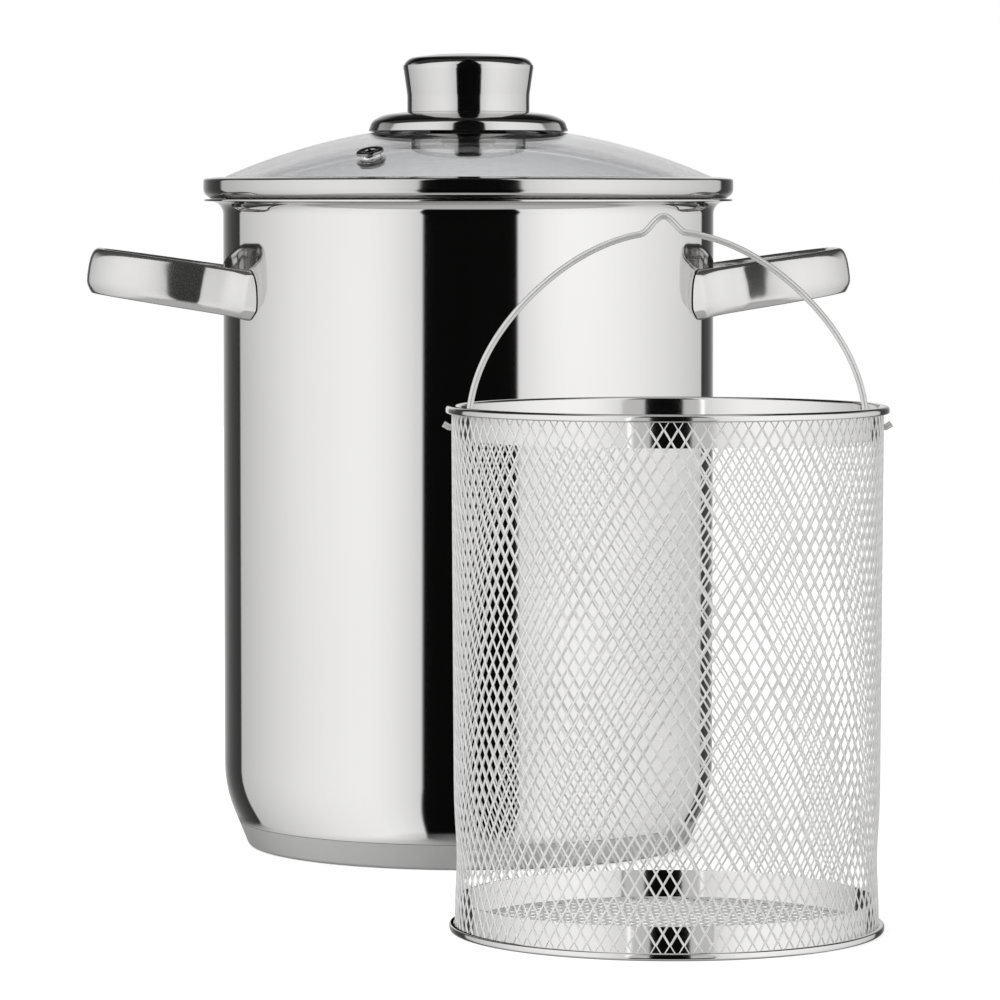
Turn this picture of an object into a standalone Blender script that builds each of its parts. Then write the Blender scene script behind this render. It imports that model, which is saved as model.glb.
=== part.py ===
"""Asparagus pot: a tall steel pot, its glass lid, and a mesh basket that stands in front of it.

Metres, +Z up. The origin is the centre of the pot's base, on the floor. The pot's two handles
lie along X, and the basket stands on the -Y side with its bail's pivots along X.
"""
import math

import bmesh
import bpy
from mathutils import Matrix, Vector

# Clearances
TOUCH_GAP = 0.0003
SKIRT_CLEARANCE = 0.0006
BAIL_CLEARANCE = 0.0004
THREAD_CLEARANCE = 0.0003
GLASS_EDGE_CLEARANCE = 0.0024
MERGE_DISTANCE = 0.0000001
WELD_DISTANCE = 0.000001
CUT_OVERRUN = 0.004

# How finely round shapes are cut into flats
BIG_ROUND_STEPS = 40
KNOB_ROUND_STEPS = 24
SMALL_ROUND_STEPS = 16
FILLET_TURN = math.radians(45)
HANDLE_TURN = math.radians(17)
SHARP_EDGE = math.radians(35)
STRAIGHT_ENOUGH = math.radians(0.3)

# Pot body
POT_INNER_R = 0.0800
POT_WALL = 0.0007
POT_HEIGHT = 0.2130
LIP_OVERHANG = 0.0062
LIP_FLARE_R = 0.0042
BASE_STEP_IN = 0.0079
BASE_LEAN = math.radians(22.4)
LOWER_CURVE_R = 0.040
INNER_CURVE_R = 0.0335
BOTTOM_CORNER_R = 0.0028
SEAM_MARGIN = 0.0015

# Capsule base
BAND_HEIGHT = 0.0090
CAP_WALL = 0.0005
CAP_EDGE_R = 0.0020
CORE_THICKNESS = 0.0045
CORE_INSET = 0.0018

# Pot handles
HANDLE_DROP = 0.0298
HANDLE_BEARING = math.radians(3.5)
HANDLE_TILT = math.radians(9.1)
HANDLE_REACH = 0.0446
HANDLE_FOOT_HALF_SPAN = 0.0358
HANDLE_BEND_SHARES = (
    (0.172, 0.844, 0.0),
    (0.537, 0.807, 0.955),
    (0.895, 0.559, 0.573),
    (1.0, 0.335, 0.19),
)
STRAP_HEIGHT = 0.0154
STRAP_THICKNESS = 0.0054
FOOT_HEIGHT = 0.0165
FOOT_THICKNESS = 0.0090
FOOT_LENGTH = 0.0065
STRAP_SQUARENESS = 4.0
STRAP_SIDES = 12
LEG_STATION_SHARES = (0.0, 0.14, 0.26, 0.38, 0.50, 0.64, 1.0)

# Lid: steel rim band
RIM_OVERHANG = 0.0003
RIM_WALL = 0.0006
RIM_WIDTH = 0.0047
RIM_FALL = 0.0006
RIM_BELLY_Z = 0.0018
RIM_FOOT_STEP_IN = 0.0024
RIM_SHOULDER_FILLET = 0.0012
RIM_BELLY_FILLET = 0.0030
RIM_FOOT_FILLET = 0.0012
SKIRT_DEPTH = 0.0042

# Lid: glass dome
GLASS_SPHERE_R = 0.1960
GLASS_THICKNESS = 0.0038
GLASS_HOLE_R = 0.0040
DOME_STEPS = 6

# Lid: steam vent
VENT_INSET = 0.0209
VENT_BEARING = math.radians(239.7)
VENT_BORE_R = 0.0020
VENT_TUBE_R = 0.0030
VENT_FLANGE_R = 0.0044
VENT_FLANGE_THICKNESS = 0.0009
VENT_RING_R = 0.0048
VENT_RING_THICKNESS = 0.0009
VENT_ROLL_R = 0.0040
VENT_ROLL_THICKNESS = 0.0006

# Lid: knob
KNOB_WALL = 0.0008
KNOB_WAIST_R = 0.0201
KNOB_HEAD_OVERHANG = 0.0013
KNOB_HEIGHT = 0.0188
KNOB_CROWN = 0.0018
KNOB_HEAD_LOW_SHARE = 0.76
KNOB_WAIST_TOP_SHARE = 0.28
KNOB_EDGE_FILLET = 0.0040
KNOB_FLARE_FILLET = 0.0100
PLATE_WALL = 0.0008
PLATE_RISE = 0.0042
PLATE_LAND = 0.0004
PLATE_BRIM = 0.0128
PLATE_EDGE_STEP = 0.0019
PLATE_SHOULDER_DROP = 0.0020
PLATE_SHOULDER_FILLET = 0.0045
GASKET_R = 0.0130
LOWER_GASKET_R = 0.0090
LOWER_GASKET_THICKNESS = 0.0012
WASHER_R = 0.0080
WASHER_THICKNESS = 0.0010
BOSS_R = 0.0065
BOSS_BORE_SHARE = 0.638
SCREW_R = 0.0025
SCREW_TIP_SPACE = 0.0015
SCREW_HEAD_R = 0.0048
SCREW_HEAD_HEIGHT = 0.0030
SCREW_HEAD_FILLET = 0.0012
SLOT_WIDTH = 0.0010
SLOT_DEPTH = 0.0012

# Basket
BASKET_X = 0.0591
BASKET_Y = -0.2030
BASKET_HEIGHT = 0.1535
BASKET_TOP_R = 0.0645
BASKET_TAPER = 0.0009
MESH_THICKNESS = 0.0006
STRAND_WIDTH = 0.0022
MESH_COLUMNS = 20
MESH_HALF_ROWS = 9
RIM_STRIP_WALL = 0.0005
TOP_STRIP_HEIGHT = 0.0095
FOOT_STRIP_HEIGHT = 0.0095
BEAD_HEIGHT = 0.0022
BEAD_DEPTH = 0.0013
BEAD_FILLET = 0.0005
FLOOR_LIFT = 0.0010
FLOOR_MARGIN = 0.0025
FLOOR_CELL_WIDTH = 0.0160
FLOOR_CELL_HEIGHT = 0.0277

# Bail
PIVOT_MARGIN = 0.0031
WIRE_R = 0.00095
ARCH_INSET = 0.0037
ARCH_SHOULDER_SHARE = 0.042
ARCH_TOP_SHARE = 0.018
HUMP_HEIGHT = 0.0046
HUMP_WIDTH = 0.0136
ELBOW_R = 0.0022
STUB_REACH = 0.0022
STUB_BEND = math.radians(27)
ARCH_STEPS = 22
HUMP_STEPS = 6
ELBOW_STEPS = 3
WIRE_BEVEL_STEPS = 2

# Sizes that follow from the ones above
POT_OUTER_R = POT_INNER_R + POT_WALL
LIP_R = POT_OUTER_R + LIP_OVERHANG
BASE_R = POT_OUTER_R - BASE_STEP_IN
BASE_SLOPE = math.tan(BASE_LEAN)
HANDLE_ROOT_Z = POT_HEIGHT - HANDLE_DROP
CORE_FLOOR_Z = CAP_WALL + TOUCH_GAP
BODY_FLOOR_Z = CORE_FLOOR_Z + CORE_THICKNESS + TOUCH_GAP
LOWER_SEAM_Z = (POT_OUTER_R - BASE_R) / BASE_SLOPE + LOWER_CURVE_R * math.tan(BASE_LEAN / 2) + SEAM_MARGIN
UPPER_SEAM_Z = POT_HEIGHT - POT_WALL - LIP_FLARE_R - SEAM_MARGIN
RIM_R = LIP_R + RIM_OVERHANG
RIM_INNER_R = RIM_R - RIM_WIDTH
RIM_FOOT_R = RIM_R - RIM_FOOT_STEP_IN
RIM_SEAT_Z = TOUCH_GAP
GLASS_EDGE_R = RIM_R - RIM_WALL - GLASS_EDGE_CLEARANCE
GLASS_EDGE_Z = RIM_SEAT_Z + RIM_WALL + TOUCH_GAP
UNDER_SPHERE_R = GLASS_SPHERE_R - GLASS_THICKNESS
UNDER_RISE = UNDER_SPHERE_R - math.sqrt(UNDER_SPHERE_R ** 2 - GLASS_EDGE_R ** 2)
GLASS_APEX_Z = GLASS_EDGE_Z + UNDER_RISE + GLASS_THICKNESS
VENT_REACH = RIM_INNER_R - VENT_INSET
PLATE_TOP_Z = GLASS_APEX_Z + PLATE_RISE
PLATE_FLAT_R = KNOB_WAIST_R + PLATE_LAND
PLATE_EDGE_R = KNOB_WAIST_R + PLATE_BRIM
KNOB_HEAD_R = KNOB_WAIST_R + KNOB_HEAD_OVERHANG
KNOB_FOOT_Z = PLATE_TOP_Z + TOUCH_GAP
BOSS_BORE_TOP_Z = KNOB_FOOT_Z + KNOB_HEIGHT * BOSS_BORE_SHARE
KNOB_BORE_R = SCREW_R + THREAD_CLEARANCE
SHEET_STACK = RIM_STRIP_WALL + TOUCH_GAP + MESH_THICKNESS + TOUCH_GAP + BEAD_DEPTH
BASKET_FOOT_R = BASKET_TOP_R - BASKET_TAPER
TOP_STRIP_R = BASKET_TOP_R - SHEET_STACK
FOOT_STRIP_R = BASKET_FOOT_R - SHEET_STACK
MESH_IN_STACK = RIM_STRIP_WALL + TOUCH_GAP + MESH_THICKNESS / 2
MESH_TOP_R = TOP_STRIP_R + MESH_IN_STACK
MESH_FOOT_R = FOOT_STRIP_R + MESH_IN_STACK
MESH_LOW_Z = RIM_STRIP_WALL + TOUCH_GAP
MESH_HIGH_Z = BASKET_HEIGHT - RIM_STRIP_WALL - TOUCH_GAP
PIVOT_Z = BASKET_HEIGHT - TOP_STRIP_HEIGHT + PIVOT_MARGIN
ARCH_R = TOP_STRIP_R - ARCH_INSET


# Outlines, as lists of (radius, height)

def unit(a, b):
    """Direction from point a to point b."""
    length = math.hypot(b[0] - a[0], b[1] - a[1])
    return (b[0] - a[0]) / length, (b[1] - a[1]) / length


def turn_of(d1, d2):
    """Signed angle from direction d1 to direction d2; left is positive."""
    return math.atan2(d1[0] * d2[1] - d1[1] * d2[0], d1[0] * d2[0] + d1[1] * d2[1])


def fillet_reaches(corners):
    """How far each corner's fillet runs along its sides; two on one side share its length."""
    reaches = [0.0]
    for before, corner, after in zip(corners, corners[1:], corners[2:]):
        turn = turn_of(unit(before, corner), unit(corner, after))
        reaches.append(corner[2] * math.tan(abs(turn) / 2))
    reaches.append(0.0)
    shares = [1.0] * len(corners)
    for k, (a, b) in enumerate(zip(corners, corners[1:])):
        taken = reaches[k] + reaches[k + 1]
        if taken > 0:
            share = math.dist(a[:2], b[:2]) / taken
            shares[k] = min(shares[k], share)
            shares[k + 1] = min(shares[k + 1], share)
    return [reach * share for reach, share in zip(reaches, shares)]


def rounded(corners, finest=FILLET_TURN):
    """Points along a path of (radius, height, fillet) corners, with each fillet as an arc."""
    points = [corners[0][:2]]
    reaches = fillet_reaches(corners)
    for before, corner, after, reach in zip(corners, corners[1:], corners[2:], reaches[1:]):
        d1 = unit(before, corner)
        d2 = unit(corner, after)
        turn = turn_of(d1, d2)
        if reach <= 0 or abs(turn) < STRAIGHT_ENOUGH:
            points.append(corner[:2])
            continue
        side = math.copysign(1, turn)
        fillet = reach / math.tan(abs(turn) / 2)
        start = (corner[0] - d1[0] * reach, corner[1] - d1[1] * reach)
        centre = (start[0] - d1[1] * side * fillet, start[1] + d1[0] * side * fillet)
        steps = max(2, math.ceil(abs(turn) / finest))
        for k in range(steps + 1):
            angle = turn * k / steps
            x, z = start[0] - centre[0], start[1] - centre[1]
            points.append((
                centre[0] + x * math.cos(angle) - z * math.sin(angle),
                centre[1] + x * math.sin(angle) + z * math.cos(angle),
            ))
    points.append(corners[-1][:2])
    return points


def beside(corners, distance):
    """The same path, moved to its right-hand side, its fillets kept concentric."""
    moved = []
    last = len(corners) - 1
    for k, corner in enumerate(corners):
        d1 = unit(corners[max(k, 1) - 1], corners[max(k, 1)])
        d2 = unit(corners[min(k, last - 1)], corners[min(k, last - 1) + 1])
        n1 = (d1[1], -d1[0])
        n2 = (d2[1], -d2[0])
        reach = distance / (1 + n1[0] * n2[0] + n1[1] * n2[1])
        fillet = corner[2]
        if fillet > 0:
            fillet = max(0, fillet + math.copysign(distance, turn_of(d1, d2)))
        r = corner[0] + (n1[0] + n2[0]) * reach
        z = corner[1] + (n1[1] + n2[1]) * reach
        moved.append((r if corner[0] > 0 else 0, z, fillet))
    return moved


def sheet(corners, wall):
    """Outline of sheet metal whose seen face follows the corners, its wall to their right."""
    return rounded(corners) + rounded(beside(corners, wall))[::-1]


# Meshes

def turned(outline, steps):
    """A solid of revolution about Z. An outline that leaves the axis is closed into a ring."""
    bm = bmesh.new()
    verts = [bm.verts.new((r, 0, z)) for r, z in outline]
    edges = [bm.edges.new(pair) for pair in zip(verts, verts[1:])]
    if outline[0][0] > 0:
        edges.append(bm.edges.new((verts[-1], verts[0])))
    bmesh.ops.spin(bm, geom=verts + edges, cent=(0, 0, 0), axis=(0, 0, 1), angle=math.tau,
                   steps=steps, use_merge=True)
    bmesh.ops.remove_doubles(bm, verts=bm.verts, dist=MERGE_DISTANCE)
    bmesh.ops.recalc_face_normals(bm, faces=bm.faces)
    return bm


def material(name, colour, roughness, metallic, alpha=1.0):
    """A Principled material for one sub-part."""
    made = bpy.data.materials.new(name)
    made.use_nodes = True
    shader = made.node_tree.nodes["Principled BSDF"]
    shader.inputs["Base Color"].default_value = (*colour, 1)
    shader.inputs["Roughness"].default_value = roughness
    shader.inputs["Metallic"].default_value = metallic
    shader.inputs["Alpha"].default_value = alpha
    return made


def add(name, bm, finish, parent):
    """Put a mesh into the scene as a named sub-part, shaded smooth between its sharp edges."""
    mesh = bpy.data.meshes.new(name)
    bm.to_mesh(mesh)
    bm.free()
    mesh.shade_smooth()
    mesh.set_sharp_from_angle(angle=SHARP_EDGE)
    made = bpy.data.objects.new(name, mesh)
    if finish:
        mesh.materials.append(material(name, *finish))
    made.parent = parent
    bpy.context.scene.collection.objects.link(made)
    return made


def pivot(name, place, parent=None):
    """An empty that carries one group of pieces that move together."""
    made = bpy.data.objects.new(name, None)
    made.location = place
    made.parent = parent
    bpy.context.scene.collection.objects.link(made)
    return made


def rod(radius, low, high, steps):
    """A plain round bar along Z."""
    return turned([(0, low), (radius, low), (radius, high), (0, high)], steps)


def cut(piece, tool):
    """Take a tool's shape out of a piece."""
    tool.hide_render = True
    tool.display_type = "WIRE"
    step = piece.modifiers.new(tool.name, "BOOLEAN")
    step.operation = "DIFFERENCE"
    step.solver = "EXACT"
    step.object = tool


# Finishes: colour, roughness, metallic
POLISHED_STEEL = ((0.64, 0.63, 0.62), 0.07, 1.0)
SATIN_STEEL = ((0.52, 0.52, 0.51), 0.38, 1.0)
CAST_STEEL = ((0.60, 0.59, 0.58), 0.16, 1.0)
MESH_STEEL = ((0.72, 0.72, 0.71), 0.28, 1.0)
WIRE_STEEL = ((0.70, 0.70, 0.69), 0.18, 1.0)
CORE_ALUMINIUM = ((0.77, 0.77, 0.78), 0.45, 1.0)
SMOKY_GLASS = ((0.60, 0.61, 0.62), 0.03, 0.0, 0.35)
GREY_SILICONE = ((0.30, 0.30, 0.31), 0.60, 0.0)
ZINC_STEEL = ((0.58, 0.58, 0.57), 0.30, 1.0)


# Pot body

def lean_r(z, inset=0.0):
    """Radius of the pot's leaning foot at a height, inset square to its face."""
    return BASE_R - inset / math.cos(BASE_LEAN) + z * BASE_SLOPE


def lean_top(radius, inset=0.0):
    """Height where the leaning foot, inset, meets a wall of this radius."""
    return (radius - lean_r(0, inset)) / BASE_SLOPE


def pot_foot():
    """Bottom of the drawn body: a flat floor, the leaning foot and the curve up to the wall."""
    under_cap = CAP_WALL + TOUCH_GAP
    inside = under_cap + POT_WALL
    ledge = BAND_HEIGHT + TOUCH_GAP
    inner_floor = BODY_FLOOR_Z + POT_WALL
    outline = rounded([
        (0, BODY_FLOOR_Z, 0),
        (lean_r(BODY_FLOOR_Z, under_cap), BODY_FLOOR_Z, BOTTOM_CORNER_R),
        (lean_r(ledge, under_cap), ledge, 0),
        (lean_r(ledge), ledge, 0),
        (POT_OUTER_R, lean_top(POT_OUTER_R), LOWER_CURVE_R),
        (POT_OUTER_R, LOWER_SEAM_Z, 0),
        (POT_INNER_R, LOWER_SEAM_Z, 0),
        (POT_INNER_R, lean_top(POT_INNER_R, inside), INNER_CURVE_R),
        (lean_r(inner_floor, inside), inner_floor, BOTTOM_CORNER_R),
        (0, inner_floor, 0),
    ])
    return turned(outline, BIG_ROUND_STEPS)


def pot_wall():
    """Straight wall of the drawn body, from over its foot to under its lip."""
    low = LOWER_SEAM_Z + TOUCH_GAP
    return turned(sheet([(POT_OUTER_R, UPPER_SEAM_Z, 0), (POT_OUTER_R, low, 0)], POT_WALL),
                  BIG_ROUND_STEPS)


def pot_lip():
    """Lip of the drawn body, turned outwards, which carries the lid."""
    low = UPPER_SEAM_Z + TOUCH_GAP
    lip_under = POT_HEIGHT - POT_WALL
    outline = rounded([
        (POT_OUTER_R, low, 0),
        (POT_OUTER_R, lip_under, LIP_FLARE_R),
        (LIP_R, lip_under, 0),
        (LIP_R, POT_HEIGHT, 0),
        (POT_INNER_R, POT_HEIGHT, LIP_FLARE_R + POT_WALL),
        (POT_INNER_R, low, 0),
    ])
    return turned(outline, BIG_ROUND_STEPS)


def base_cap():
    """Steel capsule pressed round the core: the satin band and the face the pot stands on."""
    edge_z = BAND_HEIGHT - CAP_WALL * math.sin(BASE_LEAN)
    corners = [
        (lean_r(edge_z), edge_z, 0),
        (BASE_R, 0, CAP_EDGE_R),
        (0, 0, 0),
    ]
    return turned(sheet(corners, CAP_WALL), BIG_ROUND_STEPS)


def base_core():
    """Aluminium disc that spreads the heat, closed in between the body and the capsule."""
    radius = lean_r(0, CAP_WALL) - CORE_INSET
    return rod(radius, CORE_FLOOR_Z, CORE_FLOOR_Z + CORE_THICKNESS, BIG_ROUND_STEPS)


# Pot handles

def handle_path():
    """Centre line of a handle in plan: out from the wall, round its bends and back."""
    bar = HANDLE_REACH - STRAP_THICKNESS / 2
    root = (-POT_INNER_R + math.sqrt(POT_INNER_R ** 2 - HANDLE_FOOT_HALF_SPAN ** 2) - CUT_OVERRUN)
    knee, *bends = [
        (bar * out_share, HANDLE_FOOT_HALF_SPAN * span_share, bar * bend_share)
        for out_share, span_share, bend_share in HANDLE_BEND_SHARES
    ]
    leg = [
        (
            root + (knee[0] - root) * share,
            HANDLE_FOOT_HALF_SPAN + (knee[1] - HANDLE_FOOT_HALF_SPAN) * share,
        )
        for share in LEG_STATION_SHARES
    ]
    bend = rounded([(*leg[-1], 0), *bends, (bar, 0, 0)], HANDLE_TURN)[1:]
    half = leg + bend
    return half + [(u, -v) for u, v in half[-2::-1]]


def strap_section(half_thickness, half_height):
    """One cross-section of the strap, a rectangle with full, soft edges."""
    section = []
    for k in range(STRAP_SIDES):
        angle = math.tau * (k + 0.5) / STRAP_SIDES
        c, s = math.cos(angle), math.sin(angle)
        section.append((
            half_thickness * math.copysign(abs(c) ** (2 / STRAP_SQUARENESS), c),
            half_height * math.copysign(abs(s) ** (2 / STRAP_SQUARENESS), s),
        ))
    return section


def handle_mesh():
    """Cast loop handle. Its strap grows taller and thicker where its feet meet the wall."""
    path = handle_path()
    bm = bmesh.new()
    rings = []
    for k, (u, v) in enumerate(path):
        d = unit(path[max(k - 1, 0)], path[min(k + 1, len(path) - 1)])
        off_wall = math.hypot(u + POT_OUTER_R, v) - POT_OUTER_R
        foot = min(1, max(0, 1 - off_wall / FOOT_LENGTH)) ** 2
        thickness = STRAP_THICKNESS + (FOOT_THICKNESS - STRAP_THICKNESS) * foot
        height = STRAP_HEIGHT + (FOOT_HEIGHT - STRAP_HEIGHT) * foot
        rings.append([
            bm.verts.new((u + d[1] * a, v - d[0] * a, b))
            for a, b in strap_section(thickness / 2, height / 2)
        ])
    for near, far in zip(rings, rings[1:]):
        for k in range(STRAP_SIDES):
            after = (k + 1) % STRAP_SIDES
            bm.faces.new((near[k], near[after], far[after], far[k]))
    bm.faces.new(rings[0])
    bm.faces.new(rings[-1])
    bmesh.ops.recalc_face_normals(bm, faces=bm.faces)
    return bm


def handle(name, facing):
    """A handle turned to its side of the pot, its feet cut to the wall that they are welded to."""
    made = add(name, handle_mesh(), CAST_STEEL, None)
    made.location = Matrix.Rotation(facing, 4, "Z") @ Vector((POT_OUTER_R, 0, HANDLE_ROOT_Z))
    made.rotation_euler = (0, -HANDLE_TILT, facing)
    low = HANDLE_ROOT_Z - FOOT_HEIGHT - CUT_OVERRUN
    high = HANDLE_ROOT_Z + FOOT_HEIGHT + CUT_OVERRUN
    wall = add(name + "_wall_cut", rod(POT_OUTER_R + TOUCH_GAP, low, high, BIG_ROUND_STEPS),
               None, None)
    cut(made, wall)


# Lid

def glass_top(r):
    """Height of the dome's outer face above the pot's rim."""
    return GLASS_APEX_Z - GLASS_SPHERE_R + math.sqrt(GLASS_SPHERE_R ** 2 - r ** 2)


def glass_under(r):
    """Height of the dome's inner face above the pot's rim."""
    return GLASS_APEX_Z - GLASS_SPHERE_R + math.sqrt(UNDER_SPHERE_R ** 2 - r ** 2)


def lid_glass():
    """Toughened glass dome with a hole for the knob's screw."""
    span = GLASS_EDGE_R - GLASS_HOLE_R
    radii = [GLASS_HOLE_R + span * k / DOME_STEPS for k in range(DOME_STEPS + 1)]
    outline = [(r, glass_top(r)) for r in radii]
    outline += [(r, glass_under(r)) for r in reversed(radii)]
    return turned(outline, BIG_ROUND_STEPS)


def lid_rim_band():
    """Rolled steel rim: over the glass, round its edge, across the lip and down into the pot."""
    skirt_r = POT_INNER_R - SKIRT_CLEARANCE
    inner_z = glass_top(RIM_INNER_R) + TOUCH_GAP + RIM_WALL
    corners = [
        (RIM_INNER_R, inner_z, 0),
        (RIM_R, inner_z - RIM_FALL, RIM_SHOULDER_FILLET),
        (RIM_R, RIM_BELLY_Z, RIM_BELLY_FILLET),
        (RIM_FOOT_R, RIM_SEAT_Z, RIM_FOOT_FILLET),
        (skirt_r, RIM_SEAT_Z, 0),
        (skirt_r, -SKIRT_DEPTH, 0),
    ]
    return turned(sheet(corners, RIM_WALL), BIG_ROUND_STEPS)


def vent_eyelet():
    """Steel eyelet riveted through the glass. Its height is counted from the glass's face."""
    flange_top = TOUCH_GAP + VENT_FLANGE_THICKNESS
    roll_top = -GLASS_THICKNESS - VENT_RING_THICKNESS - 3 * TOUCH_GAP
    roll_low = roll_top - VENT_ROLL_THICKNESS
    outline = [
        (VENT_BORE_R, flange_top),
        (VENT_FLANGE_R - VENT_FLANGE_THICKNESS / 2, flange_top),
        (VENT_FLANGE_R, TOUCH_GAP + VENT_FLANGE_THICKNESS / 2),
        (VENT_FLANGE_R, TOUCH_GAP),
        (VENT_TUBE_R, TOUCH_GAP),
        (VENT_TUBE_R, roll_top),
        (VENT_ROLL_R, roll_top),
        (VENT_ROLL_R, roll_low),
        (VENT_BORE_R, roll_low),
    ]
    return turned(outline, SMALL_ROUND_STEPS)


def vent_ring():
    """Washer on the glass's inner face that the eyelet is rolled over."""
    top = -GLASS_THICKNESS - 2 * TOUCH_GAP
    low = top - VENT_RING_THICKNESS
    bore = VENT_TUBE_R + TOUCH_GAP
    outline = [(bore, top), (VENT_RING_R, top), (VENT_RING_R, low), (bore, low)]
    return turned(outline, SMALL_ROUND_STEPS)


def knob_base_plate():
    """Domed steel plate between the knob and the glass."""
    edge_z = glass_top(PLATE_EDGE_R) + TOUCH_GAP + PLATE_WALL / 2
    corners = [
        (KNOB_BORE_R, PLATE_TOP_Z, 0),
        (PLATE_FLAT_R, PLATE_TOP_Z, 0),
        (PLATE_EDGE_R - PLATE_EDGE_STEP, PLATE_TOP_Z - PLATE_SHOULDER_DROP,
         PLATE_SHOULDER_FILLET),
        (PLATE_EDGE_R, edge_z, 0),
    ]
    return turned(sheet(corners, PLATE_WALL), KNOB_ROUND_STEPS)


def knob_shell():
    """Hollow steel knob: waist, wider head and a crowned top."""
    head_low_z = KNOB_FOOT_Z + KNOB_HEIGHT * KNOB_HEAD_LOW_SHARE
    waist_top_z = KNOB_FOOT_Z + KNOB_HEIGHT * KNOB_WAIST_TOP_SHARE
    corners = [
        (0, KNOB_FOOT_Z + KNOB_HEIGHT, 0),
        (KNOB_HEAD_R, KNOB_FOOT_Z + KNOB_HEIGHT - KNOB_CROWN, KNOB_EDGE_FILLET),
        (KNOB_HEAD_R, head_low_z, KNOB_FLARE_FILLET),
        (KNOB_WAIST_R, waist_top_z, KNOB_FLARE_FILLET),
        (KNOB_WAIST_R, KNOB_FOOT_Z, 0),
    ]
    return turned(sheet(corners, KNOB_WALL), KNOB_ROUND_STEPS)


def knob_boss():
    """Threaded post inside the knob, from under its crown down to the plate."""
    crown_fall = KNOB_CROWN * BOSS_R / KNOB_HEAD_R
    top = KNOB_FOOT_Z + KNOB_HEIGHT - crown_fall - KNOB_WALL - TOUCH_GAP
    outline = [
        (0, top),
        (BOSS_R, top),
        (BOSS_R, KNOB_FOOT_Z),
        (KNOB_BORE_R, KNOB_FOOT_Z),
        (KNOB_BORE_R, BOSS_BORE_TOP_Z),
        (0, BOSS_BORE_TOP_Z),
    ]
    return turned(outline, SMALL_ROUND_STEPS)


def ring(bore, radius, low, high):
    """A flat ring about Z."""
    outline = [(bore, high), (radius, high), (radius, low), (bore, low)]
    return turned(outline, SMALL_ROUND_STEPS)


def knob_screw(head_top):
    """Pan-head screw that clamps the knob, the plate and the gaskets to the glass."""
    tip = BOSS_BORE_TOP_Z - SCREW_TIP_SPACE
    head_low = head_top - SCREW_HEAD_HEIGHT
    outline = rounded([
        (0, tip, 0),
        (SCREW_R, tip, 0),
        (SCREW_R, head_top, 0),
        (SCREW_HEAD_R, head_top, 0),
        (SCREW_HEAD_R, head_low, SCREW_HEAD_FILLET),
        (0, head_low, 0),
    ])
    return turned(outline, SMALL_ROUND_STEPS)


def build_lid():
    """Every piece that lifts off with the lid, placed from the centre of the pot's rim."""
    lid = pivot("lid_seat", (0, 0, POT_HEIGHT))
    glass = add("lid_glass", lid_glass(), SMOKY_GLASS, lid)
    add("lid_rim_band", lid_rim_band(), POLISHED_STEEL, lid)

    vent_x = VENT_REACH * math.cos(VENT_BEARING)
    vent_y = VENT_REACH * math.sin(VENT_BEARING)
    vent_z = glass_top(VENT_REACH)
    vent = pivot("vent_axis", (vent_x, vent_y, vent_z), lid)
    outward = Vector((vent_x, vent_y, vent_z - GLASS_APEX_Z + GLASS_SPHERE_R))
    vent.rotation_euler = outward.to_track_quat("Z", "Y").to_euler()
    add("vent_eyelet", vent_eyelet(), POLISHED_STEEL, vent)
    add("vent_ring", vent_ring(), POLISHED_STEEL, vent)
    drill = rod(VENT_TUBE_R + TOUCH_GAP, -GLASS_THICKNESS - CUT_OVERRUN, CUT_OVERRUN,
                SMALL_ROUND_STEPS)
    cut(glass, add("vent_drill", drill, None, vent))

    add("knob_base_plate", knob_base_plate(), POLISHED_STEEL, lid)
    add("knob_shell", knob_shell(), POLISHED_STEEL, lid)
    add("knob_boss", knob_boss(), ZINC_STEEL, lid)

    upper_low = glass_top(0) + TOUCH_GAP
    upper_high = PLATE_TOP_Z - PLATE_WALL - TOUCH_GAP
    add("knob_gasket_upper", ring(KNOB_BORE_R, GASKET_R, upper_low, upper_high),
        GREY_SILICONE, lid)
    lower_high = glass_under(LOWER_GASKET_R) - TOUCH_GAP
    lower_low = lower_high - LOWER_GASKET_THICKNESS
    add("knob_gasket_lower", ring(KNOB_BORE_R, LOWER_GASKET_R, lower_low, lower_high),
        GREY_SILICONE, lid)
    washer_high = lower_low - TOUCH_GAP
    washer_low = washer_high - WASHER_THICKNESS
    add("knob_washer", ring(KNOB_BORE_R, WASHER_R, washer_low, washer_high), ZINC_STEEL, lid)

    head_top = washer_low - TOUCH_GAP
    screw = add("knob_screw", knob_screw(head_top), ZINC_STEEL, lid)
    slot = bmesh.new()
    bmesh.ops.create_cube(slot, size=1)
    slot_size = (2 * (SCREW_HEAD_R + CUT_OVERRUN), SLOT_WIDTH, 2 * SLOT_DEPTH)
    bmesh.ops.scale(slot, vec=slot_size, verts=slot.verts)
    bmesh.ops.translate(slot, vec=(0, 0, head_top - SCREW_HEAD_HEIGHT), verts=slot.verts)
    cut(screw, add("screw_slot", slot, None, lid))


# Basket

def mesh_row_z(row):
    """Height of a row of crossings in the basket's wall."""
    return MESH_LOW_Z + (MESH_HIGH_Z - MESH_LOW_Z) * row / MESH_HALF_ROWS


def mesh_wall_r(z):
    """Mid-radius of the basket's wall: upright in its rims, wider at the top than at the foot."""
    low = mesh_row_z(1)
    high = mesh_row_z(MESH_HALF_ROWS - 1)
    share = min(1, max(0, (z - low) / (high - low)))
    return MESH_FOOT_R + (MESH_TOP_R - MESH_FOOT_R) * share


def diamond(u, z, half_width, half_height, low, high):
    """Corners of a diamond cell, cut off flat where it would pass the sheet's edges."""
    bottom = max(z - half_height, low)
    top = min(z + half_height, high)
    return [(u - half_width, z), (u, bottom), (u + half_width, z), (u, top)]


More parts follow.
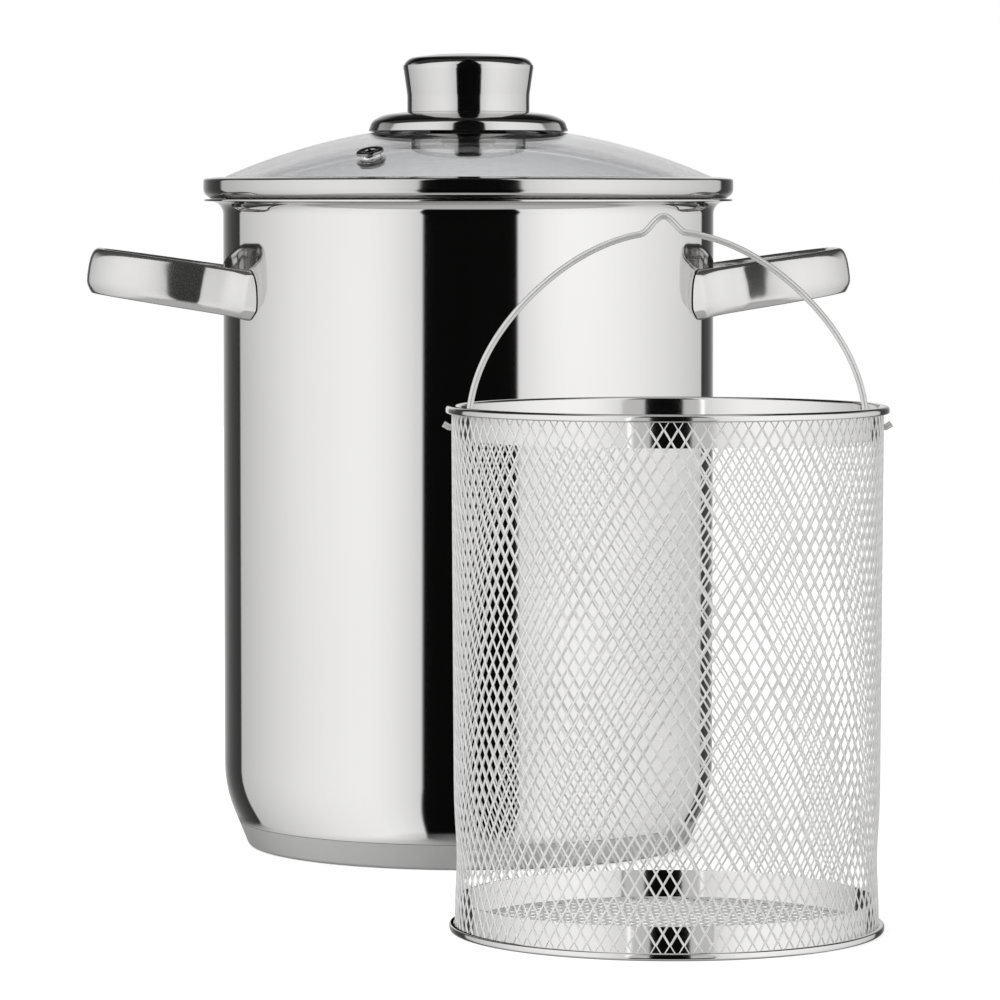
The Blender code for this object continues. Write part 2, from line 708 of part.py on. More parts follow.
def shrunk(corners, distance):
    """A cell's opening: its outline moved in on every side by half a strand."""
    count = len(corners)
    inner = []
    for k in range(count):
        d1 = unit(corners[k - 1], corners[k])
        d2 = unit(corners[k], corners[(k + 1) % count])
        n1 = (-d1[1], d1[0])
        n2 = (-d2[1], d2[0])
        reach = distance / (1 + n1[0] * n2[0] + n1[1] * n2[1])
        inner.append((
            corners[k][0] + (n1[0] + n2[0]) * reach,
            corners[k][1] + (n1[1] + n2[1]) * reach,
        ))
    return inner


def mesh_wall():
    """Expanded-metal wall, its diamonds drawn coarser than the real ones but as open."""
    half_columns = 2 * MESH_COLUMNS
    facet = math.tau / half_columns
    half_width = facet * MESH_TOP_R
    half_height = mesh_row_z(1) - mesh_row_z(0)
    bm = bmesh.new()

    def on_wall(point):
        """A flat sheet's point, bent onto the wall's facets, which match those of the rims."""
        angle = point[0] / MESH_TOP_R
        past = angle % facet - facet / 2
        r = mesh_wall_r(point[1]) * math.cos(facet / 2) / math.cos(past)
        return bm.verts.new((r * math.cos(angle), r * math.sin(angle), point[1]))

    for row in range(MESH_HALF_ROWS + 1):
        for column in range(half_columns):
            if (row + column + MESH_HALF_ROWS) % 2:
                continue
            cell = diamond(column * half_width, mesh_row_z(row), half_width, half_height,
                           MESH_LOW_Z, MESH_HIGH_Z)
            opening = shrunk(cell, STRAND_WIDTH / 2)
            outer = [on_wall(point) for point in cell]
            inner = [on_wall(point) for point in opening]
            for k in range(len(cell)):
                bm.faces.new((outer[k - 1], outer[k], inner[k], inner[k - 1]))
    bmesh.ops.remove_doubles(bm, verts=bm.verts, dist=WELD_DISTANCE)
    bmesh.ops.recalc_face_normals(bm, faces=bm.faces)
    return bm


def floor_openings(radius):
    """The openings of the floor's mesh that lie whole within its plain edge."""
    bm = bmesh.new()
    half_width = FLOOR_CELL_WIDTH / 2
    half_height = FLOOR_CELL_HEIGHT / 2
    across = math.ceil(radius / half_width)
    along = math.ceil(radius / half_height)
    for row in range(-along, along + 1):
        for column in range(-across, across + 1):
            if (row + column) % 2:
                continue
            cell = diamond(column * half_width, row * half_height, half_width, half_height,
                           -2 * radius, 2 * radius)
            opening = shrunk(cell, STRAND_WIDTH / 2)
            if max(math.hypot(*point) for point in opening) > radius:
                continue
            bm.faces.new([bm.verts.new((x, y, 0)) for x, y in opening])
    return bm


def build_basket():
    """The basket and its bail, placed from the centre of the basket's foot."""
    basket = pivot("basket_foot", (BASKET_X, BASKET_Y, 0))

    wall = add("basket_mesh_wall", mesh_wall(), MESH_STEEL, basket)
    body = wall.modifiers.new("thickness", "SOLIDIFY")
    body.thickness = MESH_THICKNESS
    body.offset = 0

    floor_r = FOOT_STRIP_R - TOUCH_GAP
    disc = rod(floor_r, FLOOR_LIFT, FLOOR_LIFT + MESH_THICKNESS, BIG_ROUND_STEPS)
    floor = add("basket_mesh_floor", disc, MESH_STEEL, basket)
    punch = add("floor_punch", floor_openings(floor_r - FLOOR_MARGIN), None, basket)
    stroke = punch.modifiers.new("stroke", "SOLIDIFY")
    stroke.thickness = 2 * CUT_OVERRUN
    stroke.offset = 0
    cut(floor, punch)

    bead_in_top = BASKET_TOP_R - BEAD_DEPTH
    bead_low = BASKET_HEIGHT - BEAD_HEIGHT
    top_corners = [
        (TOP_STRIP_R, BASKET_HEIGHT - TOP_STRIP_HEIGHT, 0),
        (TOP_STRIP_R, BASKET_HEIGHT, BEAD_FILLET),
        (BASKET_TOP_R, BASKET_HEIGHT, BEAD_FILLET),
        (BASKET_TOP_R, bead_low, BEAD_FILLET),
        (bead_in_top, bead_low, 0),
    ]
    top = add("basket_top_rim", turned(sheet(top_corners, RIM_STRIP_WALL), BIG_ROUND_STEPS),
              POLISHED_STEEL, basket)
    foot_corners = [
        (BASKET_FOOT_R - BEAD_DEPTH, BEAD_HEIGHT, 0),
        (BASKET_FOOT_R, BEAD_HEIGHT, BEAD_FILLET),
        (BASKET_FOOT_R, 0, BEAD_FILLET),
        (FOOT_STRIP_R, 0, BEAD_FILLET),
        (FOOT_STRIP_R, FOOT_STRIP_HEIGHT, 0),
    ]
    add("basket_bottom_rim", turned(sheet(foot_corners, RIM_STRIP_WALL), BIG_ROUND_STEPS),
        POLISHED_STEEL, basket)

    axle = pivot("bail_pivot", (0, 0, PIVOT_Z), basket)
    half_bar = BASKET_TOP_R + CUT_OVERRUN
    drill = add("pivot_drill", rod(WIRE_R + BAIL_CLEARANCE, -half_bar, half_bar,
                                   SMALL_ROUND_STEPS), None, axle)
    drill.rotation_euler = (0, math.pi / 2, 0)
    cut(top, drill)
    bail(axle)


# Bail

def arch_point(angle):
    """A point of the bail's arch, flattened at its shoulders, with the hump at its top."""
    r = ARCH_R * (1 - ARCH_SHOULDER_SHARE * math.sin(2 * angle) ** 2)
    r -= ARCH_R * ARCH_TOP_SHARE * math.sin(angle) ** 4
    x = r * math.cos(angle)
    z = r * math.sin(angle)
    if abs(x) < HUMP_WIDTH / 2:
        z += HUMP_HEIGHT * (1 + math.cos(math.tau * x / HUMP_WIDTH)) / 2
    return x, z


def bail_half():
    """The wire from its outer stub, in through the rim, round its elbow and up to the top."""
    wall_x = BASKET_TOP_R - BEAD_DEPTH
    stub = (wall_x + STUB_REACH * math.cos(STUB_BEND), STUB_REACH * math.sin(STUB_BEND))
    elbow = (ARCH_R + ELBOW_R, 0)
    start = math.asin(ELBOW_R / ARCH_R)
    hump_edge = math.acos(HUMP_WIDTH / 2 / ARCH_R)
    points = [stub, (wall_x, 0)]
    for k in range(ELBOW_STEPS):
        angle = math.pi / 2 * k / ELBOW_STEPS
        points.append((elbow[0] - ELBOW_R * math.sin(angle), ELBOW_R * (1 - math.cos(angle))))
    for k in range(ARCH_STEPS // 2):
        points.append(arch_point(start + (hump_edge - start) * 2 * k / ARCH_STEPS))
    for k in range(HUMP_STEPS + 1):
        points.append(arch_point(hump_edge + (math.pi / 2 - hump_edge) * k / HUMP_STEPS))
    return points


def bail(axle):
    """Spring-steel wire handle. Its ends pass through the top rim and turn up outside."""
    half = bail_half()
    points = half + [(-x, z) for x, z in half[-2::-1]]
    curve = bpy.data.curves.new("bail_wire", "CURVE")
    curve.dimensions = "3D"
    curve.bevel_depth = WIRE_R
    curve.bevel_resolution = WIRE_BEVEL_STEPS
    curve.use_fill_caps = True
    spline = curve.splines.new("POLY")
    spline.points.add(len(points) - 1)
    for point, (x, z) in zip(spline.points, points):
        point.co = (x, 0, z, 1)
    curve.materials.append(material("bail_wire", *WIRE_STEEL))
    made = bpy.data.objects.new("bail_wire", curve)
    made.parent = axle
    bpy.context.scene.collection.objects.link(made)


for left_over in list(bpy.data.objects):
    bpy.data.objects.remove(left_over)
add("pot_foot", pot_foot(), POLISHED_STEEL, None)
add("pot_wall", pot_wall(), POLISHED_STEEL, None)
add("pot_lip", pot_lip(), POLISHED_STEEL, None)
add("base_cap", base_cap(), SATIN_STEEL, None)
add("base_core", base_core(), CORE_ALUMINIUM, None)
handle("handle_right", HANDLE_BEARING)
handle("handle_left", HANDLE_BEARING + math.pi)
build_lid()
build_basket()
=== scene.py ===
"""Looks of an asparagus pot: a tall polished pot with its glass lid, and its mesh basket."""
import math

import bpy
import numpy as np
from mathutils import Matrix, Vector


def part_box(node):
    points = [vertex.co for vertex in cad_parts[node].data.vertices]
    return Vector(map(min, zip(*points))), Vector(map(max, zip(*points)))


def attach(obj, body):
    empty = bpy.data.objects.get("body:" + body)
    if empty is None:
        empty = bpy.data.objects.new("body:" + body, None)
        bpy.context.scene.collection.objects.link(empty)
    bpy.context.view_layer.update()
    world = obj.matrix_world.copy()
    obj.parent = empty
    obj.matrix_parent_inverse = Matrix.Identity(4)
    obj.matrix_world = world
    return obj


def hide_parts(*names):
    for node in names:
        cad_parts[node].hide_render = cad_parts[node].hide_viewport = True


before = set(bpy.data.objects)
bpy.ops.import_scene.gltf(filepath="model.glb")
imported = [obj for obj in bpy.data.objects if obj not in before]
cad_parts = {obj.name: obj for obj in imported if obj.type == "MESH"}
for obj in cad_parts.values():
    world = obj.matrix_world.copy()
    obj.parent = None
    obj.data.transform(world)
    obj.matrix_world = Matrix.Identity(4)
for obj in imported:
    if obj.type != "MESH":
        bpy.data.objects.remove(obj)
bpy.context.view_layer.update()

# Pot body
# The tall drawn shell of stainless sheet: a straight wall, a foot that leans in and a lip that
# is rolled outwards. It is mirror-polished outside and brushed inside, and it carries the
# capsule base and both handles, which are welded to it.

pot_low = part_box("pot_foot")[0]
pot_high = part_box("pot_lip")[1]
POT_SIDES = 224
SHEET = 0.0007
WALL_R = 0.0807
LIP_R = pot_high.x
LIP_Z = pot_high.z
LIP_FLARE = 0.0042
FOOT_R = 0.0728
FOOT_SLOPE = math.tan(math.radians(22.4))
FOOT_BEND = 0.040
FOOT_BEND_INSIDE = 0.034
BAND_TOP = 0.0086
FLOOR_Z = pot_low.z
FLOOR_CORNER = 0.0028
POLE_R = 0.0004
ARC_STEP = math.radians(5)
SOFT_EDGE = math.radians(38)
MERGE = 0.000001


def rounded(corners, step=ARC_STEP):
    """Points of an outline whose (radius, height, fillet) corners are turned into arcs."""
    points = [corners[0][:2]]
    for (r0, z0, _), (r1, z1, fillet), (r2, z2, _) in zip(corners, corners[1:], corners[2:]):
        into = math.atan2(z1 - z0, r1 - r0)
        turn = (math.atan2(z2 - z1, r2 - r1) - into + math.pi) % math.tau - math.pi
        if fillet == 0 or abs(turn) < step / 4:
            points.append((r1, z1))
            continue
        side = math.copysign(1, turn)
        reach = fillet * math.tan(abs(turn) / 2)
        start_r = r1 - reach * math.cos(into)
        start_z = z1 - reach * math.sin(into)
        centre_r = start_r - side * fillet * math.sin(into)
        centre_z = start_z + side * fillet * math.cos(into)
        steps = max(2, math.ceil(abs(turn) / step))
        for k in range(steps + 1):
            angle = into - side * math.pi / 2 + turn * k / steps
            points.append((centre_r + fillet * math.cos(angle),
                           centre_z + fillet * math.sin(angle)))
    points.append(corners[-1][:2])
    return points


def beside(corners, distance):
    """The same corners moved to their right-hand side, which gives a sheet its other face."""
    moved = []
    for k, (r, z, fillet) in enumerate(corners):
        before = corners[max(k - 1, 0)]
        after = corners[min(k + 1, len(corners) - 1)]
        into = math.atan2(z - before[1], r - before[0]) if k else None
        out = math.atan2(after[1] - z, after[0] - r) if k < len(corners) - 1 else into
        into = out if into is None else into
        turn = (out - into + math.pi) % math.tau - math.pi
        middle = into + turn / 2 - math.pi / 2
        reach = distance / math.cos(turn / 2)
        if fillet:
            fillet = max(0, fillet + math.copysign(distance, turn))
        moved.append((r + reach * math.cos(middle), z + reach * math.sin(middle), fillet))
    return moved


def start_clean():
    """Leave edit mode and select nothing."""
    if bpy.context.object and bpy.context.object.mode != "OBJECT":
        bpy.ops.object.mode_set(mode="OBJECT")
    bpy.ops.object.select_all(action="DESELECT")


def take(piece):
    """Select this piece alone, so that the next operator acts on it."""
    start_clean()
    bpy.context.view_layer.objects.active = piece
    piece.select_set(True)


def settle(name):
    """Name the piece in hand, put its place into its mesh and shade it smooth."""
    if bpy.context.object.mode != "OBJECT":
        bpy.ops.object.mode_set(mode="OBJECT")
    piece = bpy.context.object
    piece.name = name
    piece.data.name = name
    bpy.ops.object.transform_apply(location=True, rotation=True, scale=True)
    bpy.ops.object.shade_smooth_by_angle(angle=SOFT_EDGE)
    return piece


def turned(name, outline, sides=POT_SIDES, ring=False):
    """A piece turned about Z: a circle drawn out ring by ring along its outline."""
    start_clean()
    if ring:
        outline = outline + outline[:1]
    bpy.ops.mesh.primitive_circle_add(vertices=sides, radius=outline[0][0],
                                      location=(0, 0, outline[0][1]))
    bpy.ops.object.transform_apply(location=True)
    bpy.ops.object.mode_set(mode="EDIT")
    bpy.ops.mesh.select_all(action="SELECT")
    for (r0, z0), (r1, z1) in zip(outline, outline[1:]):
        bpy.ops.mesh.extrude_region_move(TRANSFORM_OT_translate={"value": (0, 0, z1 - z0)})
        bpy.ops.transform.resize(value=(r1 / r0, r1 / r0, 1), center_override=(0, 0, 0))
    bpy.ops.mesh.select_all(action="SELECT")
    if ring:
        bpy.ops.mesh.remove_doubles(threshold=MERGE)
    else:
        bpy.ops.mesh.fill_holes(sides=0)
    bpy.ops.mesh.select_all(action="SELECT")
    bpy.ops.mesh.normals_make_consistent(inside=False)
    return settle(name)


class Wire:
    """One output of a shader node. Sums and products of wires add their Math nodes."""

    def __init__(self, tree, socket=None):
        self.tree = tree
        self.socket = socket

    def node(self, kind, settings=None, sockets=None, output=0):
        """Add a node: its settings first, then the values or wires of its inputs."""
        made = self.tree.nodes.new(kind)
        for name, value in (settings or {}).items():
            if name != "stops":
                setattr(made, name, value)
                continue
            elements = made.color_ramp.elements
            for place, _ in value[2:]:
                elements.new(place)
            for element, (place, level) in zip(elements, value):
                element.position = place
                element.color = (level, level, level, 1)
        for name, value in (sockets or {}).items():
            if isinstance(value, Wire):
                self.tree.links.new(value.socket, made.inputs[name])
            else:
                made.inputs[name].default_value = value
        return Wire(self.tree, None if output is None else made.outputs[output])

    def maths(self, operation, *values):
        """A Math node on these values."""
        return self.node("ShaderNodeMath", {"operation": operation}, dict(enumerate(values)))

    def __add__(self, other):
        return self.maths("ADD", self, other)

    __radd__ = __add__

    def __sub__(self, other):
        return self.maths("SUBTRACT", self, other)

    def __rsub__(self, other):
        return self.maths("SUBTRACT", other, self)

    def __mul__(self, other):
        return self.maths("MULTIPLY", self, other)

    __rmul__ = __mul__

    def __truediv__(self, other):
        return self.maths("DIVIDE", self, other)

    def __pow__(self, other):
        return self.maths("POWER", self, other)

    def __gt__(self, other):
        return self.maths("GREATER_THAN", self, other)


def axes(place):
    """The three numbers of a place or a direction."""
    return [place.node("ShaderNodeSeparateXYZ", {}, {0: place}, output=axis) for axis in "XYZ"]


def noise(wire, waves, detail=2.0, seed=0.0):
    """Noise on a piece's own coordinates, with a count of waves per metre along X, Y and Z."""
    place = wire.node("ShaderNodeTexCoord", output="Object")
    spot = place.node("ShaderNodeMapping", {}, {0: place, "Location": (seed, seed, seed),
                                                "Scale": waves})
    return spot.node("ShaderNodeTexNoise", {}, {"Vector": spot, "Scale": 1.0, "Detail": detail})


def mix(share, low, high):
    """A colour between two, by a wire that runs from 0 to 1."""
    return share.node("ShaderNodeMix", {"data_type": "RGBA"},
                      {"Factor": share, "A": (*low, 1), "B": (*high, 1)}, output=2)


def bumped(height, depth, under=None):
    """A bump of this depth in metres, over another one if given."""
    sockets = {"Strength": 1.0, "Distance": depth, "Height": height}
    if under:
        sockets["Normal"] = under
    return height.node("ShaderNodeBump", {}, sockets)


def surface(name, constants):
    """A new material and its wires. Unvarying values go straight onto the shader's sockets."""
    made = bpy.data.materials.new(name)
    made.use_nodes = True
    shader = made.node_tree.nodes["Principled BSDF"]
    for socket, value in constants.items():
        shader.inputs[socket].default_value = value
    return made, Wire(made.node_tree)


def feed(material, **wires):
    """Link wires to the shader's sockets, which are named with _ for a blank."""
    shader = material.node_tree.nodes["Principled BSDF"]
    for name, wire in wires.items():
        material.node_tree.links.new(wire.socket, shader.inputs[name.replace("_", " ")])
    return material


def dress(piece, material, slot, body, *nodes):
    """Give a piece its material and its body, and hide the nodes it stands for; its slot is not
    used.
    """
    piece.data.materials.clear()
    piece.data.materials.append(material)
    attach(piece, body)
    if nodes:
        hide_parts(*nodes)


def paint(node, material):
    """Give a CAD node that keeps its shape a better material."""
    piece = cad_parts[node]
    piece.data.materials.clear()
    piece.data.materials.append(material)


def clamped(wire):
    """A wire kept between 0 and 1."""
    return wire.node("ShaderNodeClamp", {}, {"Value": wire})


def points_of(piece):
    """The piece's vertices as an array."""
    flat = np.empty(3 * len(piece.data.vertices))
    piece.data.vertices.foreach_get("co", flat)
    return flat.reshape(-1, 3)


POLISHED = (0.655, 0.652, 0.645)
POLISHED_DULL = (0.605, 0.600, 0.592)
SMEAR_WAVES = (14, 14, 9)
BUFFING_WAVES = (18, 18, 2400)
BRUSHING_WAVES = (60, 60, 5200)
DRAWING_WAVES = (26, 26, 11)
POLISH_ROUGH = 0.03
SMEAR_ROUGH = 0.03
BUFFING_ROUGH = 0.015
INSIDE_ROUGH = 0.16
BRUSHING_ROUGH = 0.12
FADE_HEIGHT = 0.0024
FADE_ROUGH = 0.42
LINE_DEPTH = 0.0000012
DRAWING_DEPTH = 0.00002


def polished_steel():
    """Mirror-polished sheet: faint smears, buffing lines round the pot and a brushed inside."""
    made, wire = surface("pot_polish", {"Metallic": 1.0})
    z = axes(wire.node("ShaderNodeTexCoord", output="Object"))[2]
    inside = wire.node("ShaderNodeAttribute", {"attribute_name": "brushed"}, output="Fac")
    smear = noise(wire, SMEAR_WAVES, detail=3)
    buffing = noise(wire, BUFFING_WAVES, detail=3, seed=2.7)
    brushing = noise(wire, BRUSHING_WAVES, detail=4, seed=5.1)
    drawing = noise(wire, DRAWING_WAVES, detail=1, seed=8.3)
    fade = clamped(1 - (z - BAND_TOP) / FADE_HEIGHT) * (1 - inside)
    rough = POLISH_ROUGH + SMEAR_ROUGH * smear + BUFFING_ROUGH * buffing
    rough = rough + inside * (INSIDE_ROUGH + BRUSHING_ROUGH * brushing) + fade * FADE_ROUGH
    lines = bumped(buffing * (1 - inside) + brushing * inside, LINE_DEPTH)
    return feed(made, Base_Color=mix(smear, POLISHED, POLISHED_DULL), Roughness=rough,
                Normal=bumped(drawing, DRAWING_DEPTH, under=lines))


def mark_inside(piece, outside):
    """Store on each point whether it lies on the brushed inner face of the pot's sheet."""
    points = points_of(piece)
    r, z = np.array(outside).T
    skin = np.interp(points[:, 2], z, r) - SHEET / 2
    brushed = piece.data.attributes.new("brushed", "FLOAT", "POINT")
    inner = np.hypot(points[:, 0], points[:, 1]) < skin
    brushed.data.foreach_set("value", inner.astype(float))


foot_in = SHEET / math.cos(math.atan(FOOT_SLOPE))
outside_turn = (WALL_R - FOOT_R) / FOOT_SLOPE
inside_turn = outside_turn + (foot_in - SHEET) / FOOT_SLOPE
outer_wall = [
    (FOOT_R + BAND_TOP * FOOT_SLOPE, BAND_TOP, 0),
    (WALL_R, outside_turn, FOOT_BEND),
    (WALL_R, LIP_Z - SHEET, LIP_FLARE),
    (LIP_R, LIP_Z - SHEET, SHEET / 3),
]
pot_outline = rounded([
    (POLE_R, FLOOR_Z, 0),
    (FOOT_R + FLOOR_Z * FOOT_SLOPE - foot_in, FLOOR_Z, FLOOR_CORNER),
    (FOOT_R + BAND_TOP * FOOT_SLOPE - foot_in, BAND_TOP, 0),
    *outer_wall,
    (LIP_R, LIP_Z, SHEET / 3),
    (WALL_R - SHEET, LIP_Z, LIP_FLARE + SHEET),
    (WALL_R - SHEET, inside_turn, FOOT_BEND_INSIDE),
    (FOOT_R + FLOOR_Z * FOOT_SLOPE - 2 * foot_in, FLOOR_Z + SHEET, FLOOR_CORNER),
    (POLE_R, FLOOR_Z + SHEET, 0),
])
pot_polish = polished_steel()
pot_body = turned("pot_shell", pot_outline)
mark_inside(pot_body, rounded(outer_wall))
dress(pot_body, pot_polish, "polished_steel", "pot", "pot_wall", "pot_foot", "pot_lip")

# Capsule base
# A steel cup pressed round an aluminium disc under the pot, which spreads the heat. Its outside
# is turned to a satin finish and shows as the grey band at the pot's foot.

CAP_SHEET = 0.0005
CAP_EDGE = 0.0020
CAP_TOP = 0.0085
CAP_LIP = 0.00005
SATIN = (0.51, 0.51, 0.505)
SATIN_DARK = (0.44, 0.44, 0.435)
TURN_PITCH = 0.00035
TURN_HEIGHT = 0.5
TURN_DEPTH = 0.0000016
TURN_GRAIN_WAVES = (900, 900, 4200)
CLOUD_WAVES = (30, 30, 60)
CLOUD_SHARE = 0.4
SATIN_ROUGH = 0.36
SATIN_GRAIN_ROUGH = 0.10
CLOUD_ROUGH = 0.06
ALUMINIUM = (0.79, 0.79, 0.80)
ALUMINIUM_DULL = (0.71, 0.71, 0.72)
ROLLED_WAVES = (120, 2600, 900)
ROLLED_ROUGH = 0.38
ROLLED_GRAIN_ROUGH = 0.2
ROLLED_DEPTH = 0.000002


def satin_steel():
    """Satin steel with the fine rings that its turning leaves."""
    made, wire = surface("base_satin", {"Metallic": 0.45, "Specular IOR Level": 0.2})
    x, y, z = axes(wire.node("ShaderNodeTexCoord", output="Object"))
    along = (x * x + y * y) ** 0.5 + z
    grain = noise(wire, TURN_GRAIN_WAVES, detail=4)
    cloud = noise(wire, CLOUD_WAVES, detail=3, seed=3.3)
    rings = along.maths("SINE", along * (math.tau / TURN_PITCH)) * TURN_HEIGHT
    shade = grain * (1 - CLOUD_SHARE) + cloud * CLOUD_SHARE
    rough = SATIN_ROUGH + SATIN_GRAIN_ROUGH * grain + CLOUD_ROUGH * cloud
    return feed(made, Base_Color=mix(shade, SATIN, SATIN_DARK), Roughness=rough,
                Normal=bumped(rings + grain, TURN_DEPTH))


def aluminium():
    """Rolled aluminium with a faint grain."""
    made, wire = surface("core_grain", {"Metallic": 1.0})
    grain = noise(wire, ROLLED_WAVES, detail=3)
    return feed(made, Base_Color=mix(grain, ALUMINIUM, ALUMINIUM_DULL),
                Roughness=ROLLED_ROUGH + ROLLED_GRAIN_ROUGH * grain,
                Normal=bumped(grain, ROLLED_DEPTH))


cap_corners = [
    (FOOT_R + CAP_TOP * FOOT_SLOPE - CAP_LIP, CAP_TOP - CAP_LIP, 0),
    (FOOT_R, 0, CAP_EDGE),
    (POLE_R, 0, 0),
]
cap_inner = [(max(r, POLE_R), z) for r, z in rounded(beside(cap_corners, CAP_SHEET))]
base_cap = turned("base_capsule", rounded(cap_corners) + cap_inner[::-1])
dress(base_cap, satin_steel(), "satin_steel", "pot", "base_cap")
paint("base_core", aluminium())

# Pot handles
# Two loops of cast stainless steel, tumble-polished, with a broad soft-edged strap that swells
# into a foot at each end. The feet are welded to the wall.

HANDLE_ROOT_Z = 0.1834
HANDLE_BEARING = math.radians(3.5)
HANDLE_TILT = math.radians(8.6)
HANDLE_REACH = 0.0447
HANDLE_FOOT_SPAN = 0.0358
LEG_BENDS = ((0.0072, 0.0302, 0.010), (0.0225, 0.0289, 0.040), (0.0375, 0.0200, 0.024))
HANDLE_BAR_SPAN = 0.0120
HANDLE_CORNER = 0.0080
STRAP_HEIGHT = 0.0155
BAR_HEIGHT = 0.0147
STRAP_DEPTH = 0.0054
FOOT_HEIGHT = 0.0165
FOOT_DEPTH = 0.0090
FOOT_SWELL = 0.0065
STRAP_SQUARE = 2.5
UNDERCUT = 0.45
UNDERCUT_LEVEL = 0.60
STRAP_SIDES = 40
HANDLE_STATIONS = 150
LEG_ARC = math.radians(2)
WALL_OVERLAP = 0.004
WELD_GAP = 0.0003
CAST = (0.600, 0.596, 0.588)
CAST_DULL = (0.540, 0.536, 0.528)
DIMPLE_WAVES = (95, 95, 70)
DIMPLE_DEPTH = 0.00016
CAST_GRAIN_WAVES = (900, 900, 900)
CAST_GRAIN_DEPTH = 0.0000002
CAST_SMEAR_WAVES = (45, 45, 45)
CAST_ROUGH = 0.09
CAST_SMEAR_ROUGH = 0.06
CAST_GRAIN_ROUGH = 0.03


def cast_steel():
    """Tumble-polished casting: soft dimples, a little grain and duller smears."""
    made, wire = surface("handle_polish", {"Metallic": 0.93})
    dimples = noise(wire, DIMPLE_WAVES, detail=1.5)
    grain = noise(wire, CAST_GRAIN_WAVES, detail=3, seed=4.2)
    smear = noise(wire, CAST_SMEAR_WAVES, seed=7.7)
    rough = CAST_ROUGH + CAST_SMEAR_ROUGH * smear + CAST_GRAIN_ROUGH * grain
    tumbled = bumped(dimples, DIMPLE_DEPTH)
    return feed(made, Base_Color=mix(smear, CAST, CAST_DULL), Roughness=rough,
                Normal=bumped(grain, CAST_GRAIN_DEPTH, under=tumbled))


def handle_line():
    """Centre line of the strap in plan, seen from the wall, with evenly spaced stations."""
    bar = HANDLE_REACH - STRAP_DEPTH / 2
    root = math.sqrt(WALL_R ** 2 - HANDLE_FOOT_SPAN ** 2) - WALL_R - WALL_OVERLAP
    corners = [
        (root, HANDLE_FOOT_SPAN, 0),
        *LEG_BENDS,
        (bar, HANDLE_BAR_SPAN, HANDLE_CORNER),
        (bar, -HANDLE_BAR_SPAN, HANDLE_CORNER),
        *[(out, -span, bend) for out, span, bend in LEG_BENDS[::-1]],
        (root, -HANDLE_FOOT_SPAN, 0),
    ]
    line = np.array(rounded(corners, LEG_ARC))
    run = np.concatenate([[0], np.cumsum(np.linalg.norm(np.diff(line, axis=0), axis=1))])
    spread = np.linspace(0, run[-1], HANDLE_STATIONS)
    return np.stack([np.interp(spread, run, line[:, k]) for k in (0, 1)], axis=1)


def cut_away(piece, tool):
    """Cut the tool's shape out of the piece, then clear the tool away."""
    take(piece)
    cut = piece.modifiers.new("cut", "BOOLEAN")
    cut.operation = "DIFFERENCE"
    cut.solver = "EXACT"
    cut.object = tool
    bpy.ops.object.modifier_apply(modifier="cut")
    bpy.data.objects.remove(tool)


def strap(name, bearing):
    """One loop: a sheet of quads wrapped round its line, turned to its side, cut to the wall."""
    start_clean()
    line = handle_line()
    bpy.ops.mesh.primitive_grid_add(x_subdivisions=HANDLE_STATIONS - 1,
                                    y_subdivisions=STRAP_SIDES, size=1)
    piece = bpy.context.object
    heading = np.gradient(line, axis=0)
    heading /= np.linalg.norm(heading, axis=1)[:, None]
    off_wall = np.hypot(line[:, 0] + WALL_R, line[:, 1]) - WALL_R
    swell = np.clip(1 - off_wall / FOOT_SWELL, 0, 1) ** 2
    slim = np.clip(off_wall / HANDLE_REACH, 0, 1)
    half_depth = (STRAP_DEPTH + (FOOT_DEPTH - STRAP_DEPTH) * swell) / 2
    half_height = (STRAP_HEIGHT + (BAR_HEIGHT - STRAP_HEIGHT) * slim) / 2
    half_height += (FOOT_HEIGHT / 2 - half_height) * swell
    for vert in piece.data.vertices:
        k = round((vert.co.x + 0.5) * (HANDLE_STATIONS - 1))
        angle = math.tau * (vert.co.y + 0.5)
        c, s = math.cos(angle), math.sin(angle)
        level = math.copysign(abs(s) ** (2 / STRAP_SQUARE), s)
        a = half_depth[k] * math.copysign(abs(c) ** (2 / STRAP_SQUARE), c)
        a *= 1 - UNDERCUT * max(-level - UNDERCUT_LEVEL, 0) / (1 - UNDERCUT_LEVEL)
        b = half_height[k] * level
        u = line[k, 0] + heading[k, 1] * a
        v = line[k, 1] - heading[k, 0] * a
        across = WALL_R + u * math.cos(HANDLE_TILT) - b * math.sin(HANDLE_TILT)
        up = u * math.sin(HANDLE_TILT) + b * math.cos(HANDLE_TILT)
        vert.co = (across * math.cos(bearing) - v * math.sin(bearing),
                   across * math.sin(bearing) + v * math.cos(bearing), HANDLE_ROOT_Z + up)
    bpy.ops.object.mode_set(mode="EDIT")
    bpy.ops.mesh.select_all(action="SELECT")
    bpy.ops.mesh.remove_doubles(threshold=MERGE)
    bpy.ops.mesh.fill_holes(sides=0)
    bpy.ops.mesh.select_all(action="SELECT")
    bpy.ops.mesh.normals_make_consistent(inside=False)
    bpy.ops.object.mode_set(mode="OBJECT")
    start_clean()
    bpy.ops.mesh.primitive_cylinder_add(vertices=POT_SIDES, radius=WALL_R + WELD_GAP,
                                        depth=4 * FOOT_HEIGHT, location=(0, 0, HANDLE_ROOT_Z))
    cut_away(piece, bpy.context.object)
    return settle(name)


handle_polish = cast_steel()
for node, bearing in (("handle_right", HANDLE_BEARING),
                      ("handle_left", HANDLE_BEARING + math.pi)):
    dress(strap("loop_" + node, bearing), handle_polish, "cast_steel", "pot", node)

# Lid glass
# A shallow dome of toughened glass, 3.8 mm thick, drilled in the middle for the knob's screw and
# once for the vent. Its edge sits in the steel rim.

